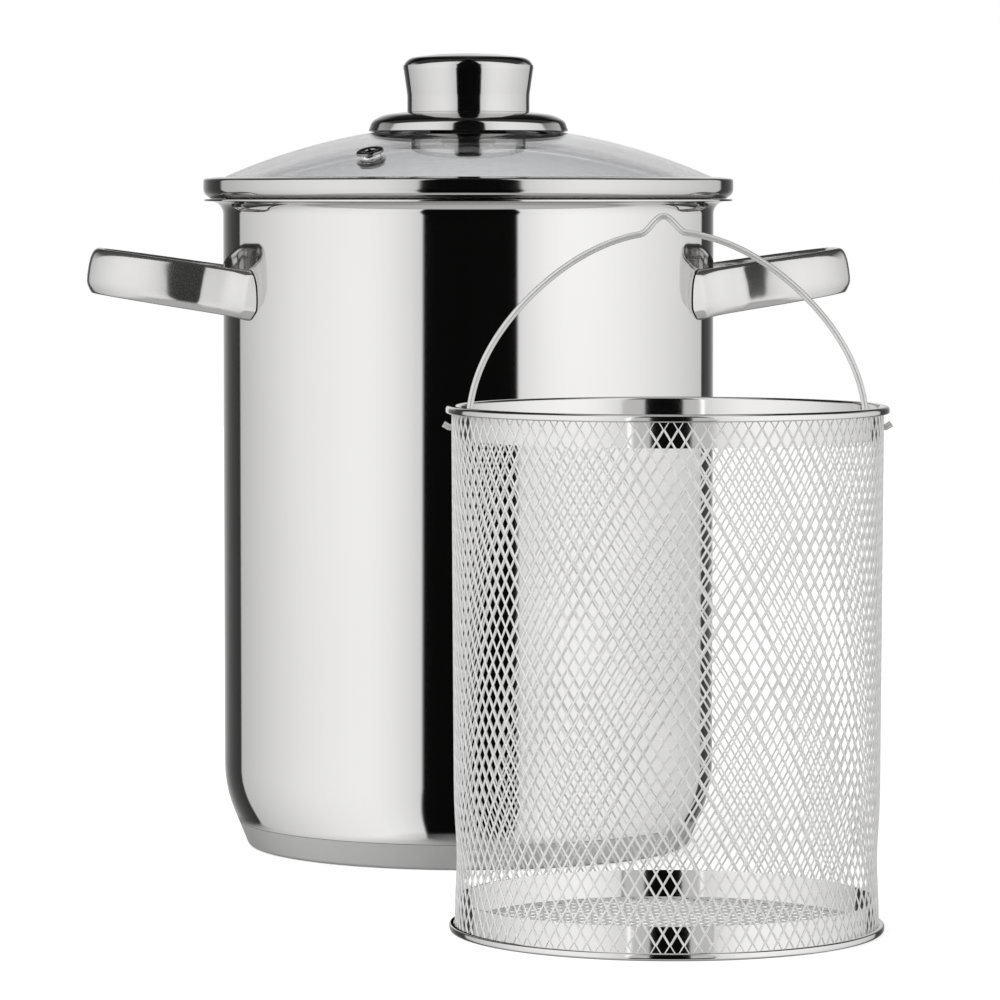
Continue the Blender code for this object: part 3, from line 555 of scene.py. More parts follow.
DOME_R = 0.1960
GLASS = 0.0038
GLASS_R = 0.0840
GLASS_HOLE_R = 0.0040
GLASS_STEPS = 28
LID_GAP = 0.0003
GLASS_TOP_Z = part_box("lid_glass")[1].z
VENT_REACH = 0.0614
VENT_BEARING = math.radians(239.7)
VENT_HOLE_R = 0.0033
VENT_DRILL_SIDES = 48
GLASS_TINT = (0.875, 0.878, 0.886, 1)
GLASS_BEND = 1.5
RIPPLE_WAVES = (38, 38, 38)
RIPPLE_DEPTH = 0.000006
DROP_WAVES = (260, 260, 260)
DROP_STOPS = [(0.66, 0.0), (0.74, 1.0)]
GLASS_ROUGH = 0.008
DROP_ROUGH = 0.006


def dome_z(r, drop=0.0):
    """Height of the dome's outer face at a radius, or of the face that lies this far under it."""
    crown = DOME_R - math.sqrt(DOME_R ** 2 - GLASS_HOLE_R ** 2)
    return GLASS_TOP_Z + crown - DOME_R + math.sqrt((DOME_R - drop) ** 2 - r ** 2)


def ramp(wire, stops):
    """The wire led through a ramp of (place, level) stops."""
    return wire.node("ShaderNodeValToRGB", {"stops": stops}, {0: wire})


def clear_glass():
    """Clear toughened glass with a slight ripple from its quenching and a few dry drops."""
    made, wire = surface("glass_clear", {"Base Color": GLASS_TINT, "IOR": GLASS_BEND,
                                         "Transmission Weight": 1.0})
    ripple = noise(wire, RIPPLE_WAVES, detail=1)
    drops = noise(wire, DROP_WAVES, seed=6.1)
    return feed(made, Roughness=GLASS_ROUGH + DROP_ROUGH * ramp(drops, DROP_STOPS),
                Normal=bumped(ripple, RIPPLE_DEPTH))


glass_radii = [GLASS_HOLE_R + (GLASS_R - GLASS_HOLE_R) * k / GLASS_STEPS
               for k in range(GLASS_STEPS + 1)]
glass_outline = [(r, dome_z(r)) for r in glass_radii]
glass_outline += [(r, dome_z(r, GLASS)) for r in reversed(glass_radii)]
glass = turned("glass_dome", glass_outline, ring=True)
vent_place = (VENT_REACH * math.cos(VENT_BEARING), VENT_REACH * math.sin(VENT_BEARING),
              dome_z(VENT_REACH))
vent_turn = (0, math.asin(VENT_REACH / DOME_R), VENT_BEARING)
start_clean()
bpy.ops.mesh.primitive_cylinder_add(vertices=VENT_DRILL_SIDES, radius=VENT_HOLE_R,
                                    depth=3 * GLASS, location=vent_place, rotation=vent_turn)
cut_away(glass, bpy.context.object)
bpy.ops.object.shade_smooth_by_angle(angle=SOFT_EDGE)
dress(glass, clear_glass(), "lid_glass", "lid", "lid_glass")

# Lid rim band
# A strip of polished steel rolled over the glass's edge. It grips the glass from above, bellies
# out, rests on the pot's lip and ends in the skirt that centres the lid in the pot.

LID_STEEL = (0.560, 0.557, 0.551)
LID_STEEL_DULL = (0.515, 0.511, 0.504)
RIM_SHEET = 0.0006
RIM_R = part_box("lid_rim_band")[1].x
RIM_INNER_R = 0.0823
RIM_FALL = 0.0006
RIM_BELLY_LIFT = 0.0018
RIM_FOOT_R = 0.0848
RIM_SEAT_LIFT = 0.00012
SKIRT_R = 0.0794
SKIRT_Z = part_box("lid_rim_band")[0].z
RIM_SHOULDER_ROUND = 0.0009
RIM_BELLY_ROUND = 0.0030
RIM_FOOT_ROUND = 0.0012
SPUN_SMEAR_WAVES = (60, 60, 60)
SPUN_BUFFING_WAVES = (40, 40, 3800)
SPUN_ROUGH = 0.05
SPUN_SMEAR_ROUGH = 0.04
SPUN_BUFFING_ROUGH = 0.025
SPUN_LINE_DEPTH = 0.0000008
rim_inner_z = dome_z(RIM_INNER_R) + LID_GAP + RIM_SHEET
rim_corners = [
    (RIM_INNER_R, rim_inner_z, 0),
    (RIM_R, rim_inner_z - RIM_FALL, RIM_SHOULDER_ROUND),
    (RIM_R, LIP_Z + RIM_BELLY_LIFT, RIM_BELLY_ROUND),
    (RIM_FOOT_R, LIP_Z + RIM_SEAT_LIFT, RIM_FOOT_ROUND),
    (SKIRT_R, LIP_Z + RIM_SEAT_LIFT, RIM_SHEET),
    (SKIRT_R, SKIRT_Z, 0),
]


def spun_steel(name, bright, dull):
    """Polished sheet of the small parts, with fine buffing lines that run round them."""
    made, wire = surface(name, {"Metallic": 1.0})
    smear = noise(wire, SPUN_SMEAR_WAVES, seed=1.9)
    buffing = noise(wire, SPUN_BUFFING_WAVES, detail=3, seed=3.1)
    rough = SPUN_ROUGH + SPUN_SMEAR_ROUGH * smear + SPUN_BUFFING_ROUGH * buffing
    return feed(made, Base_Color=mix(smear, bright, dull), Roughness=rough,
                Normal=bumped(buffing, SPUN_LINE_DEPTH))


def sheet(corners, wall):
    """Outline of a bent sheet, its wall on the right-hand side of the corners."""
    return rounded(corners) + rounded(beside(corners, wall))[::-1]


lid_polish = spun_steel("lid_polish", LID_STEEL, LID_STEEL_DULL)
rim = turned("rim_roll", sheet(rim_corners, RIM_SHEET), ring=True)
dress(rim, lid_polish, "polished_steel", "lid", "lid_rim_band")

# Steam vent
# A steel eyelet in the glass: a rounded flange on top, a short tube through the hole and a
# rolled end under the glass, which grips a washer.

VENT_SIDES = 64
VENT_ARC = math.radians(12)
VENT_BORE_R = 0.0020
VENT_TUBE_R = 0.0030
VENT_FLANGE_R = 0.0044
VENT_FLANGE = 0.0009
VENT_ROUND = 0.0004
VENT_RING_R = 0.0048
VENT_RING = 0.0009
VENT_ROLL_R = 0.0040
VENT_ROLL = 0.0006
VENT_BORE_ROUND = 0.0007
# Painted shade: the eyelet's and the washer's steel is made far darker than the lid's, standing in
# for the dark that the small ring mirrors
VENT_SHADED_STEEL = (0.300, 0.298, 0.295)
VENT_SHADED_STEEL_DULL = (0.240, 0.238, 0.235)


def moved_to(piece, place, turn=(0, 0, 0)):
    """Turn and move a piece that was made about Z, and put its place into its mesh."""
    take(piece)
    piece.rotation_euler = turn
    piece.location = place
    bpy.ops.object.transform_apply(location=True, rotation=True, scale=True)
    return piece


ring_top = -GLASS - 2 * LID_GAP
roll_top = ring_top - VENT_RING - LID_GAP
eyelet_outline = rounded([
    (VENT_BORE_R, roll_top - VENT_ROLL, 0),
    (VENT_BORE_R, LID_GAP + VENT_FLANGE, VENT_BORE_ROUND),
    (VENT_FLANGE_R, LID_GAP + VENT_FLANGE, VENT_ROUND),
    (VENT_FLANGE_R, LID_GAP, 0),
    (VENT_TUBE_R, LID_GAP, 0),
    (VENT_TUBE_R, roll_top, 0),
    (VENT_ROLL_R, roll_top, VENT_ROLL / 3),
    (VENT_ROLL_R, roll_top - VENT_ROLL, 0),
], VENT_ARC)
eyelet = turned("vent_flange", eyelet_outline, VENT_SIDES, ring=True)
moved_to(eyelet, vent_place, vent_turn)
# Polished steel with painted shade in its colour, for the eyelet and its washer
vent_shaded_polish = spun_steel("vent_shaded_polish", VENT_SHADED_STEEL, VENT_SHADED_STEEL_DULL)
dress(eyelet, vent_shaded_polish, "polished_steel", "lid", "vent_eyelet")
washer_outline = rounded([
    (VENT_TUBE_R + LID_GAP, ring_top, 0),
    (VENT_RING_R, ring_top, VENT_ROUND / 2),
    (VENT_RING_R, ring_top - VENT_RING, VENT_ROUND / 2),
    (VENT_TUBE_R + LID_GAP, ring_top - VENT_RING, 0),
], VENT_ARC)
vent_washer = turned("vent_washer", washer_outline, VENT_SIDES, ring=True)
moved_to(vent_washer, vent_place, vent_turn)
dress(vent_washer, vent_shaded_polish, "polished_steel", "lid", "vent_ring")

# Knob
# A domed base plate and a hollow knob, both spun from polished sheet. A threaded post inside the
# knob takes the screw, which clamps the plate, two silicone rings and a washer to the glass.

KNOB_SIDES = 160
KNOB_SHEET = 0.0008
KNOB_SEAT_GAP = 0.00005
PLATE_TOP_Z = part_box("knob_base_plate")[1].z
PLATE_FLAT_R = 0.0205
PLATE_R = 0.0329
PLATE_CREASE = 0.0100
PLATE_SLOPE_R = 0.0285
PLATE_SLOPE_DROP = 0.0010
PLATE_SLOPE_ROUND = 0.0120
PLATE_SHOULDER_R = 0.0318
PLATE_SHOULDER_DROP = 0.0032
PLATE_SHOULDER_ROUND = 0.0030
KNOB_BORE_R = 0.0028
KNOB_Z = PLATE_TOP_Z + KNOB_SEAT_GAP
KNOB_WAIST_R = 0.0201
KNOB_HEAD_R = 0.0214
KNOB_TOP_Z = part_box("knob_shell")[1].z
KNOB_CROWN = 0.0018
KNOB_CROWN_ROUND = 0.070
KNOB_HEAD_SHARE = 0.76
KNOB_WAIST_SHARE = 0.28
KNOB_EDGE = 0.0040
KNOB_FLARE = 0.0100
knob_height = KNOB_TOP_Z - KNOB_Z
plate_edge_z = dome_z(PLATE_R) + LID_GAP + KNOB_SHEET / 2
plate_corners = [
    (KNOB_BORE_R, PLATE_TOP_Z, 0),
    (PLATE_FLAT_R, PLATE_TOP_Z, PLATE_CREASE),
    (PLATE_SLOPE_R, PLATE_TOP_Z - PLATE_SLOPE_DROP, PLATE_SLOPE_ROUND),
    (PLATE_SHOULDER_R, PLATE_TOP_Z - PLATE_SHOULDER_DROP, PLATE_SHOULDER_ROUND),
    (PLATE_R, plate_edge_z, 0),
]
plate = turned("knob_plate", sheet(plate_corners, KNOB_SHEET), KNOB_SIDES, ring=True)
dress(plate, lid_polish, "polished_steel", "lid", "knob_base_plate")
knob_corners = [
    (POLE_R, KNOB_TOP_Z, 0),
    (KNOB_HEAD_R / 2, KNOB_TOP_Z, KNOB_CROWN_ROUND),
    (KNOB_HEAD_R, KNOB_TOP_Z - KNOB_CROWN, KNOB_EDGE),
    (KNOB_HEAD_R, KNOB_Z + knob_height * KNOB_HEAD_SHARE, KNOB_FLARE),
    (KNOB_WAIST_R, KNOB_Z + knob_height * KNOB_WAIST_SHARE, KNOB_FLARE),
    (KNOB_WAIST_R, KNOB_Z, 0),
]
knob_inner = [(max(r, POLE_R), z) for r, z in rounded(beside(knob_corners, KNOB_SHEET))]
knob = turned("knob_cup", rounded(knob_corners) + knob_inner[::-1], KNOB_SIDES)
dress(knob, lid_polish, "polished_steel", "lid", "knob_shell")

ZINC = (0.60, 0.60, 0.59)
ZINC_DULL = (0.50, 0.50, 0.49)
RUBBER = (0.27, 0.27, 0.28)
RUBBER_PALE = (0.34, 0.34, 0.35)
TOOL_WAVES = (500, 500, 3200)
PLATED_ROUGH = 0.22
TOOL_ROUGH = 0.16
TOOL_DEPTH = 0.0000025
SKIN_WAVES = (1400, 1400, 1400)
RUBBER_ROUGH = 0.5
SKIN_ROUGH = 0.2
SKIN_DEPTH = 0.00001
RING_EDGE = 0.0003
RING_ARC = math.radians(15)


def plated_steel():
    """Plain bright steel with tool marks."""
    made, wire = surface("plated_grain", {"Metallic": 1.0})
    marks = noise(wire, TOOL_WAVES, detail=3)
    return feed(made, Base_Color=mix(marks, ZINC, ZINC_DULL),
                Roughness=PLATED_ROUGH + TOOL_ROUGH * marks, Normal=bumped(marks, TOOL_DEPTH))


def silicone():
    """Grey silicone with a fine matt skin."""
    made, wire = surface("silicone_matt", {"Specular IOR Level": 0.4})
    skin = noise(wire, SKIN_WAVES, detail=3)
    return feed(made, Base_Color=mix(skin, RUBBER, RUBBER_PALE),
                Roughness=RUBBER_ROUGH + SKIN_ROUGH * skin, Normal=bumped(skin, SKIN_DEPTH))


def ring_piece(name, node):
    """A flat ring with softened edges that fills the box of its node."""
    low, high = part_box(node)
    outline = rounded([
        (KNOB_BORE_R, high.z, 0),
        (high.x, high.z, RING_EDGE),
        (high.x, low.z, RING_EDGE),
        (KNOB_BORE_R, low.z, 0),
    ], RING_ARC)
    return turned(name, outline, KNOB_SIDES // 2, ring=True)


plated = plated_steel()
rubber = silicone()
for name, node, material, slot in (
    ("gasket_over_glass", "knob_gasket_upper", rubber, "silicone"),
    ("gasket_under_glass", "knob_gasket_lower", rubber, "silicone"),
    ("washer_under_glass", "knob_washer", plated, "plated_steel"),
):
    dress(ring_piece(name, node), material, slot, "lid", node)
paint("knob_boss", plated)
paint("knob_screw", plated)

# Basket wall
# Expanded stainless sheet, slit and stretched into small diamonds and rolled into a cylinder.
# Its strands are flattened and stand a little askew, which makes them glint by turns.

BASKET_X = 0.0591
BASKET_Y = -0.2030
BASKET_TOP_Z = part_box("basket_top_rim")[1].z
BEAD_R = 0.0645
BEAD_FOOT_R = 0.0636
RIM_STRIP = 0.0005
BEAD_DEPTH = 0.0013
MESH_DEPTH = 0.00055
MESH_EDGE_DEPTH = 0.00022
STRAND = 0.00060
MESH_TOP_R = 0.0626
MESH_FOOT_R = 0.0617
MESH_COLUMNS = 97
MESH_ROWS = 22
MESH_IN_FOLD = 0.0008
MESH_LOW_Z = MESH_IN_FOLD
MESH_HIGH_Z = BASKET_TOP_Z - MESH_IN_FOLD
MESH_MERGE = 20 * MERGE
WAIST_DEPTH = 0.0007
WAIST_Z = 0.0220
WAIST_SPREAD = 0.0110
ASKEW = 0.00016
MESH = (0.78, 0.78, 0.77)
MESH_DULL = (0.70, 0.70, 0.69)
ETCH_WAVES = (1500, 1500, 1500)
ETCH_DEPTH = 0.000006
PATCH_WAVES = (160, 160, 160)
MESH_ROUGH = 0.36
ETCH_ROUGH = 0.10
PATCH_ROUGH = 0.06


def mesh_steel():
    """Electropolished mesh: pale, faintly etched, with duller patches."""
    made, wire = surface("mesh_bright", {"Metallic": 0.3, "Specular IOR Level": 0.3})
    etch = noise(wire, ETCH_WAVES)
    patches = noise(wire, PATCH_WAVES, seed=9.4)
    return feed(made, Base_Color=mix(patches, MESH, MESH_DULL),
                Roughness=MESH_ROUGH + ETCH_ROUGH * etch + PATCH_ROUGH * patches,
                Normal=bumped(etch, ETCH_DEPTH))


def diamond(name, half_width, half_height, strand):
    """One flat diamond of mesh: a ring of four strand halves, with a rounded section."""
    start_clean()
    bpy.ops.mesh.primitive_circle_add(vertices=4, radius=1, location=(0, 0, 0))
    piece = bpy.context.object
    slant = math.hypot(half_width, half_height)
    narrowed = 1 - strand / 2 * slant / (half_width * half_height)
    bpy.ops.object.mode_set(mode="EDIT")
    bpy.ops.mesh.select_all(action="SELECT")
    bpy.ops.transform.resize(value=(half_width, half_height, 1), center_override=(0, 0, 0))
    bpy.ops.transform.translate(value=(0, 0, MESH_DEPTH / 2))
    steps = (
        (narrowed, (MESH_EDGE_DEPTH - MESH_DEPTH) / 2),
        (1, -MESH_EDGE_DEPTH),
        (1 / narrowed, (MESH_EDGE_DEPTH - MESH_DEPTH) / 2),
    )
    for scale, shift in steps:
        bpy.ops.mesh.extrude_region_move(TRANSFORM_OT_translate={"value": (0, 0, shift)})
        bpy.ops.transform.resize(value=(scale, scale, 1), center_override=(0, 0, 0))
    bpy.ops.object.mode_set(mode="OBJECT")
    piece.name = name
    return piece


def tiled(piece, step_x, step_y, columns, rows):
    """Repeat a diamond in columns and rows, with a second set half a step between them."""
    take(piece)
    bpy.ops.object.mode_set(mode="EDIT")
    bpy.ops.mesh.select_all(action="SELECT")
    bpy.ops.mesh.duplicate_move(TRANSFORM_OT_translate={"value": (step_x / 2, step_y / 2, 0)})
    bpy.ops.object.mode_set(mode="OBJECT")
    for axis, step, count in ((0, step_x, columns), (1, step_y, rows)):
        row = piece.modifiers.new("repeat", "ARRAY")
        row.count = count
        row.use_relative_offset = False
        row.use_constant_offset = True
        row.constant_offset_displace = [step if k == axis else 0 for k in range(3)]
        bpy.ops.object.modifier_apply(modifier="repeat")


def move_points(piece, points):
    """Put the piece's vertices where the array says."""
    piece.data.vertices.foreach_set("co", points.ravel())
    piece.data.update()


def joined_up(piece):
    """Weld the diamonds to each other and turn their faces outwards."""
    take(piece)
    bpy.ops.object.mode_set(mode="EDIT")
    bpy.ops.mesh.select_all(action="SELECT")
    bpy.ops.mesh.remove_doubles(threshold=MESH_MERGE)
    bpy.ops.mesh.normals_make_consistent(inside=False)
    bpy.ops.object.mode_set(mode="OBJECT")
    piece.data.shade_smooth()


cell_width = math.tau * MESH_TOP_R / MESH_COLUMNS
cell_height = (MESH_HIGH_Z - MESH_LOW_Z) / (MESH_ROWS + 0.5)
wall = diamond("mesh_wall", cell_width / 2, cell_height / 2, STRAND)
tiled(wall, cell_width, cell_height, MESH_COLUMNS, MESH_ROWS)
flat = points_of(wall)
height = flat[:, 1] + cell_height / 2 + MESH_LOW_Z
lean = np.clip((height - MESH_LOW_Z) / (MESH_HIGH_Z - MESH_LOW_Z), 0, 1)
waist = WAIST_DEPTH * np.exp(-((height - WAIST_Z) / WAIST_SPREAD) ** 2)
askew = ASKEW * np.sin(math.tau * flat[:, 1] / cell_height)
around = flat[:, 0] / MESH_TOP_R
out = MESH_FOOT_R + (MESH_TOP_R - MESH_FOOT_R) * lean - waist + flat[:, 2] + askew
move_points(wall, np.stack([BASKET_X + out * np.cos(around), BASKET_Y + out * np.sin(around),
                            height], axis=1))
joined_up(wall)
mesh_bright = mesh_steel()
dress(wall, mesh_bright, "mesh_steel", "basket", "basket_mesh_wall")

# Basket floor
# A disc of the same expanded sheet. It is let into the bottom rim, whose strip holds its edge, and
# so lies a little over the table.

FLOOR_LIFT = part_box("basket_mesh_floor")[0].z
FLOOR_R = 0.0601
FLOOR_EDGE = 0.0016
FLOOR_CELL_WIDTH = 0.0041
FLOOR_CELL_HEIGHT = 0.0070
floor_columns = math.ceil(2 * FLOOR_R / FLOOR_CELL_WIDTH) + 1
floor_rows = math.ceil(2 * FLOOR_R / FLOOR_CELL_HEIGHT) + 1
basket_floor = diamond("mesh_floor", FLOOR_CELL_WIDTH / 2, FLOOR_CELL_HEIGHT / 2, STRAND)
tiled(basket_floor, FLOOR_CELL_WIDTH, FLOOR_CELL_HEIGHT, floor_columns, floor_rows)
joined_up(basket_floor)
flat = points_of(basket_floor)
flat[:, 0] -= (floor_columns - 1) * FLOOR_CELL_WIDTH / 2
flat[:, 1] -= (floor_rows - 1) * FLOOR_CELL_HEIGHT / 2
reach = np.hypot(flat[:, 0], flat[:, 1])
pull = np.minimum(1, (FLOOR_R - FLOOR_EDGE / 2) / np.maximum(reach, MERGE))
flat[:, :2] *= pull[:, None]
flat[:, 0] += BASKET_X
flat[:, 1] += BASKET_Y
flat[:, 2] += FLOOR_LIFT + MESH_DEPTH / 2
move_points(basket_floor, flat)
dress(basket_floor, mesh_bright, "mesh_steel", "basket", "basket_mesh_floor")

# Basket rims
# Strips of polished steel folded over the mesh's two edges, each with a rounded bead outside
# and a wide inner strip that backs the mesh. The top one is drilled for the bail.

BEAD_HEIGHT = 0.0022
BEAD_ROUND = 0.00055
TOP_STRIP_HEIGHT = 0.0095
FOOT_STRIP_HEIGHT = 0.0095
TOP_STRIP_R = 0.0615
FOOT_STRIP_R = 0.0606
PIVOT_Z = 0.1471
PIVOT_HOLE_R = 0.00135
PIVOT_SIDES = 32
top_corners = [
    (TOP_STRIP_R, BASKET_TOP_Z - TOP_STRIP_HEIGHT, 0),
    (TOP_STRIP_R, BASKET_TOP_Z, 2 * BEAD_ROUND),
    (BEAD_R, BASKET_TOP_Z, 2 * BEAD_ROUND),
    (BEAD_R, BASKET_TOP_Z - BEAD_HEIGHT, BEAD_ROUND),
    (BEAD_R - BEAD_DEPTH, BASKET_TOP_Z - BEAD_HEIGHT, 0),
]
foot_corners = [
    (BEAD_FOOT_R - BEAD_DEPTH, BEAD_HEIGHT, 0),
    (BEAD_FOOT_R, BEAD_HEIGHT, BEAD_ROUND),
    (BEAD_FOOT_R, 0, 2 * BEAD_ROUND),
    (FOOT_STRIP_R, 0, 2 * BEAD_ROUND),
    (FOOT_STRIP_R, FOOT_STRIP_HEIGHT, 0),
]
basket_place = (BASKET_X, BASKET_Y, 0)
top_rim = moved_to(turned("rim_fold_top", sheet(top_corners, RIM_STRIP), ring=True), basket_place)
start_clean()
bpy.ops.mesh.primitive_cylinder_add(vertices=PIVOT_SIDES, radius=PIVOT_HOLE_R, depth=4 * BEAD_R,
                                    location=(BASKET_X, BASKET_Y, PIVOT_Z),
                                    rotation=(0, math.pi / 2, 0))
cut_away(top_rim, bpy.context.object)
bpy.ops.object.shade_smooth_by_angle(angle=SOFT_EDGE)
strip_polish = spun_steel("strip_polish", POLISHED, POLISHED_DULL)
dress(top_rim, strip_polish, "polished_steel", "basket", "basket_top_rim")
foot_rim = moved_to(turned("rim_fold_foot", sheet(foot_corners, RIM_STRIP), ring=True),
                    basket_place)
dress(foot_rim, strip_polish, "polished_steel", "basket", "basket_bottom_rim")

# Bail
# One length of pale spring wire with a small hump in the middle for a finger or a hook. Its
# ends go out through the top rim and are turned up, so that it swings in the two holes.

WIRE_R = 0.00095
ARCH_R = 0.0578
ARCH_SHOULDER_SHARE = 0.042
ARCH_TOP_SHARE = 0.018
HUMP_HEIGHT = 0.0046
HUMP_WIDTH = 0.0136
HUMP_SHIFT = -0.0013
ELBOW_R = 0.0022
STUB_REACH = 0.0022
STUB_BEND = math.radians(27)
STUB_STRAIGHT = 0.0004
STUB_RISE = 0.00006
ARCH_POINTS = 260
ELBOW_POINTS = 10
WIRE_SIDES = 5
WIRE = (0.66, 0.66, 0.65)
WIRE_DULL = (0.58, 0.58, 0.57)
DRAWN_WAVES = (700, 2600, 700)
DRAWN_DEPTH = 0.0000006
TARNISH_WAVES = (120, 120, 120)
WIRE_ROUGH = 0.25
DRAWN_ROUGH = 0.05
TARNISH_ROUGH = 0.05


def wire_steel():
    """Drawn wire, softly bright, with faint lines along it and a few dull patches."""
    made, wire = surface("wire_bright", {"Metallic": 0.5, "Specular IOR Level": 0.3})
    lines = noise(wire, DRAWN_WAVES)
    tarnish = noise(wire, TARNISH_WAVES, seed=2.2)
    return feed(made, Base_Color=mix(tarnish, WIRE, WIRE_DULL),
                Roughness=WIRE_ROUGH + DRAWN_ROUGH * lines + TARNISH_ROUGH * tarnish,
                Normal=bumped(lines, DRAWN_DEPTH))


def arch_point(angle):
    """A point of the arch, a little flattened at its shoulders, with the hump at its top."""
    r = ARCH_R * (1 - ARCH_SHOULDER_SHARE * math.sin(2 * angle) ** 2)
    r -= ARCH_R * ARCH_TOP_SHARE * math.sin(angle) ** 4
    x = r * math.cos(angle)
    z = r * math.sin(angle)
    off = x - HUMP_SHIFT
    if abs(off) < HUMP_WIDTH / 2:
        z += HUMP_HEIGHT * (1 + math.cos(math.tau * off / HUMP_WIDTH)) / 2
    return x, z


def bail_end():
    """From the outer stub, in through the rim and round the elbow."""
    wall_x = BEAD_R - BEAD_DEPTH
    points = [(wall_x + STUB_REACH * math.cos(STUB_BEND), STUB_REACH * math.sin(STUB_BEND)),
              (wall_x + STUB_STRAIGHT, STUB_RISE), (wall_x - STUB_STRAIGHT, 0)]
    for k in range(ELBOW_POINTS):
        angle = math.pi / 2 * k / ELBOW_POINTS
        points.append((ARCH_R + ELBOW_R - ELBOW_R * math.sin(angle),
                       ELBOW_R * (1 - math.cos(angle))))
    return points


start_clean()
end = bail_end()
first = math.asin(ELBOW_R / ARCH_R)
arch = [arch_point(first + (math.pi - 2 * first) * k / ARCH_POINTS)
        for k in range(ARCH_POINTS + 1)]
bail_points = end + arch + [(-x, z) for x, z in reversed(end)]
bpy.ops.curve.primitive_nurbs_path_add(location=(0, 0, 0))
bail = bpy.context.object
bail.data.splines.clear()
bail.data.dimensions = "3D"
bail.data.bevel_depth = WIRE_R
bail.data.bevel_resolution = WIRE_SIDES
bail.data.use_fill_caps = True
spline = bail.data.splines.new("POLY")
spline.points.add(len(bail_points) - 1)
for point, (x, z) in zip(spline.points, bail_points):
    point.co = (BASKET_X + x, BASKET_Y, PIVOT_Z + z, 1)
bpy.ops.object.convert(target="MESH")
bail = settle("bail_arch")
dress(bail, wire_steel(), "wire_steel", "bail", "bail_wire")

# Studio
# A pale floor, a white ground and soft light from both sides. Polished steel shows the room as
# bright walls left and right, a dark gap on the camera's side and dark corners behind.

FLOOR_SIZE = 6.0
FLOOR_PALE = (0.86, 0.86, 0.86, 1)
FLOOR_ROUGH = 0.8
FLOOR_LIGHT = 0.45
WHITE = (1, 1, 1, 1)
start_clean()
bpy.ops.mesh.primitive_plane_add(size=FLOOR_SIZE, location=(0, 0, 0))
ground = bpy.context.object
ground.name = "studio_floor"
ground.visible_glossy = False
floor_pale, wire = surface("floor_pale", {"Base Color": FLOOR_PALE, "Roughness": FLOOR_ROUGH,
                                          "Specular IOR Level": 0.0, "Emission Color": WHITE})
seen = wire.node("ShaderNodeLightPath", output="Is Camera Ray")
through = wire.node("ShaderNodeLightPath", output="Is Transmission Ray")
feed(floor_pale, Emission_Strength=wire.maths("MAXIMUM", seen, through) * FLOOR_LIGHT)
ground.data.materials.append(floor_pale)

# The way a ray goes: its rise in degrees, and its turn from the camera's side, as a share of 180
world = bpy.data.worlds.new("studio")
world.use_nodes = True
bpy.context.scene.world = world
world.node_tree.nodes.clear()
sky = Wire(world.node_tree)
ray_x, ray_y, ray_z = axes(sky.node("ShaderNodeTexCoord", output="Generated"))
rise = ray_z.maths("ARCSINE", ray_z) / math.radians(1)
height_share = rise / 180 + 0.5
turn = sky.maths("ARCTAN2", ray_x.maths("ABSOLUTE", ray_x), 0 - ray_y) / math.pi
right = ray_x > 0
left = 1 - right
past_side = turn.maths("MAXIMUM", turn - 0.5, 0.0)

# The dark slit on the camera's side, narrower to the left and wider below
SLIT_LEFT = 2.4 / 180
SLIT_SPREAD = 0.1 / 180
SLIT_STOPS = [(0.0, 0.004), (22.2 / 180, 0.004), (23.2 / 180, 1.0)]
slit_turn = turn + left * SLIT_LEFT + rise.maths("MINIMUM", rise, 0.0) * SLIT_SPREAD
slit = ramp(slit_turn, SLIT_STOPS)

# The bright walls and the dark corners behind, the right-hand one further round
RIGHT_WIDER = 0.655
LEFT_DIM = 0.045
LEFT_DIM_BEHIND = 0.10
WALL_STOPS = [(0.0, 1.0), (22 / 180, 1.05), (27 / 180, 1.17), (31 / 180, 1.24), (37 / 180, 1.34),
              (46 / 180, 1.42), (56 / 180, 1.42), (70 / 180, 1.37), (84 / 180, 1.29),
              (98 / 180, 1.16), (112 / 180, 1.02), (125 / 180, 0.88), (134.2 / 180, 0.78),
              (135.2 / 180, 0.05), (146 / 180, 0.088), (153 / 180, 0.15), (160 / 180, 0.29),
              (170 / 180, 0.58), (1.0, 0.88)]
HEIGHT_STOPS = [(0.0, 0.0), (0.20, 0.0), (0.24, 0.94), (0.46, 0.97), (0.5, 1.0), (0.60, 1.0),
                (0.80, 0.95), (1.0, 0.80)]
wall_turn = turn - right * past_side * (1 - turn) * RIGHT_WIDER
dim = 1 - left * (LEFT_DIM + past_side * LEFT_DIM_BEHIND)
walls = ramp(wall_turn, WALL_STOPS) * dim * ramp(height_share, HEIGHT_STOPS)

# The dark ceiling behind the zenith
CEILING_LEAN = 1.35
CEILING_START = 0.10
CEILING_STOPS = [(0.69, 0.0), (0.72, 0.94)]
ABOVE_STOPS = [(0.5 + 12 / 180, 0.0), (0.5 + 30 / 180, 1.0)]
steep = ray_z.maths("MAXIMUM", ray_z - CEILING_START, 0.0)
ceiling = ramp(ray_y + steep * CEILING_LEAN, CEILING_STOPS) * ramp(height_share, ABOVE_STOPS)

# The grey table, darker behind
TABLE_STOPS = [(0.0, 0.62), (0.19, 0.68), (0.235, 0.0)]
TABLE_TURN_STOPS = [(90 / 180, 1.0), (128 / 180, 0.80), (142 / 180, 0.30)]
table = ramp(height_share, TABLE_STOPS) * ramp(turn, TABLE_TURN_STOPS)

# What the steel mirrors is this room. All else gets even light, and the camera sees plain white
EVEN_LIGHT = 0.75
room = walls * slit * (1 - ceiling) + table
camera_ray = sky.node("ShaderNodeLightPath", output="Is Camera Ray")
glossy_ray = sky.node("ShaderNodeLightPath", output="Is Glossy Ray")
clear_ray = sky.node("ShaderNodeLightPath", output="Is Transmission Ray")
plain = sky.maths("MAXIMUM", camera_ray, clear_ray)
strength = plain + (1 - plain) * (glossy_ray * room + (1 - glossy_ray) * EVEN_LIGHT)
background = sky.node("ShaderNodeBackground", {}, {"Color": WHITE, "Strength": strength})
sky.node("ShaderNodeOutputWorld", {}, {"Surface": background}, output=None)

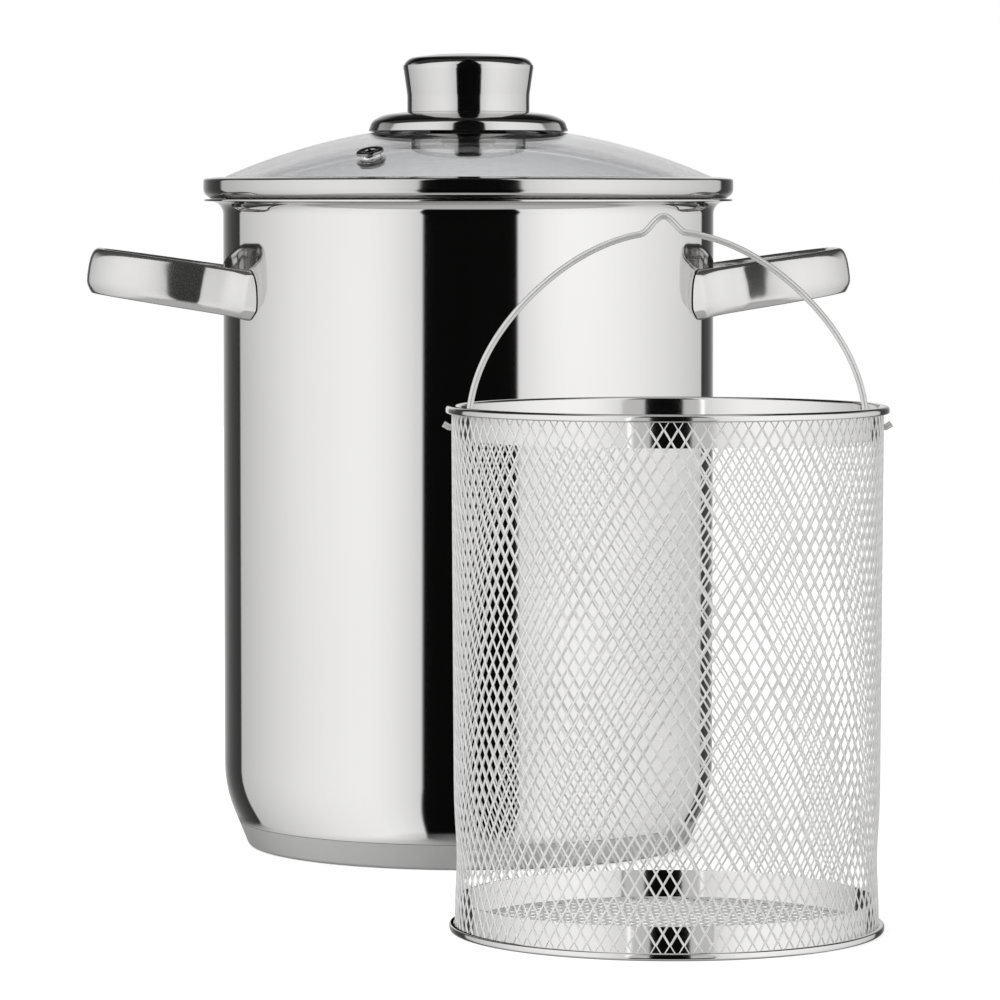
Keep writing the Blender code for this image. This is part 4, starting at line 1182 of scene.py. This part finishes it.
# One soft box over the left shoulder, for the shadow on the floor
LAMP_PLACE = (-1.1, -0.9, 1.5)
LAMP_TURN = (math.radians(42), 0, math.radians(-50))
LAMP_SIZE = 1.2
LAMP_POWER = 14
start_clean()
bpy.ops.object.light_add(type="AREA", location=LAMP_PLACE)
lamp = bpy.context.object
lamp.name = "soft_box"
lamp.rotation_euler = LAMP_TURN
lamp.data.size = LAMP_SIZE
lamp.data.energy = LAMP_POWER
lamp.visible_glossy = False

# Three panels for the basket alone, each with its place, turn, width, height and power. As in
# the photo's montage, the pot's polish doesn't show the basket
basket_things = bpy.data.collections.new("basket_light")
for piece in (wall, basket_floor, top_rim, foot_rim, bail):
    basket_things.objects.link(piece)
    piece.visible_glossy = False
PANELS = (
    ("panel_left", (-0.78, -3.0, 0.30), (90, 0, -15), 0.62, 3.0, 4.4),
    ("panel_right", (0.90, -3.0, 0.30), (90, 0, 16), 0.62, 3.0, 4.4),
    ("panel_top", (0.06, -0.20, 2.0), (0, 0, 0), 1.6, 1.6, 6.0),
)
for name, place, panel_turn, panel_width, panel_height, power in PANELS:
    bpy.ops.object.light_add(type="AREA", location=place)
    panel = bpy.context.object
    panel.name = name
    panel.rotation_euler = [math.radians(angle) for angle in panel_turn]
    panel.data.shape = "RECTANGLE"
    panel.data.size = panel_width
    panel.data.size_y = panel_height
    panel.data.energy = power
    panel.light_linking.receiver_collection = basket_things

# Camera
# It stands level with the lid's rim, 1.7 m from the pot's axis, and looks a little down. Its
# focal length is given in pixels of the square image.

CAMERA_PLACE = (0.0104, -1.700, 0.2160)
CAMERA_DIP = 3.445
FOCAL_PIXELS = 5151
IMAGE_PIXELS = 1000
SENSOR_WIDTH = 36.0
bpy.ops.object.camera_add(location=CAMERA_PLACE,
                          rotation=(math.radians(90 - CAMERA_DIP), 0, 0))
camera = bpy.context.object
camera.data.sensor_width = SENSOR_WIDTH
camera.data.lens = FOCAL_PIXELS * SENSOR_WIDTH / IMAGE_PIXELS
bpy.context.scene.camera = camera
bpy.context.scene.view_settings.view_transform = "Standard"

bpy.context.view_layer.update()
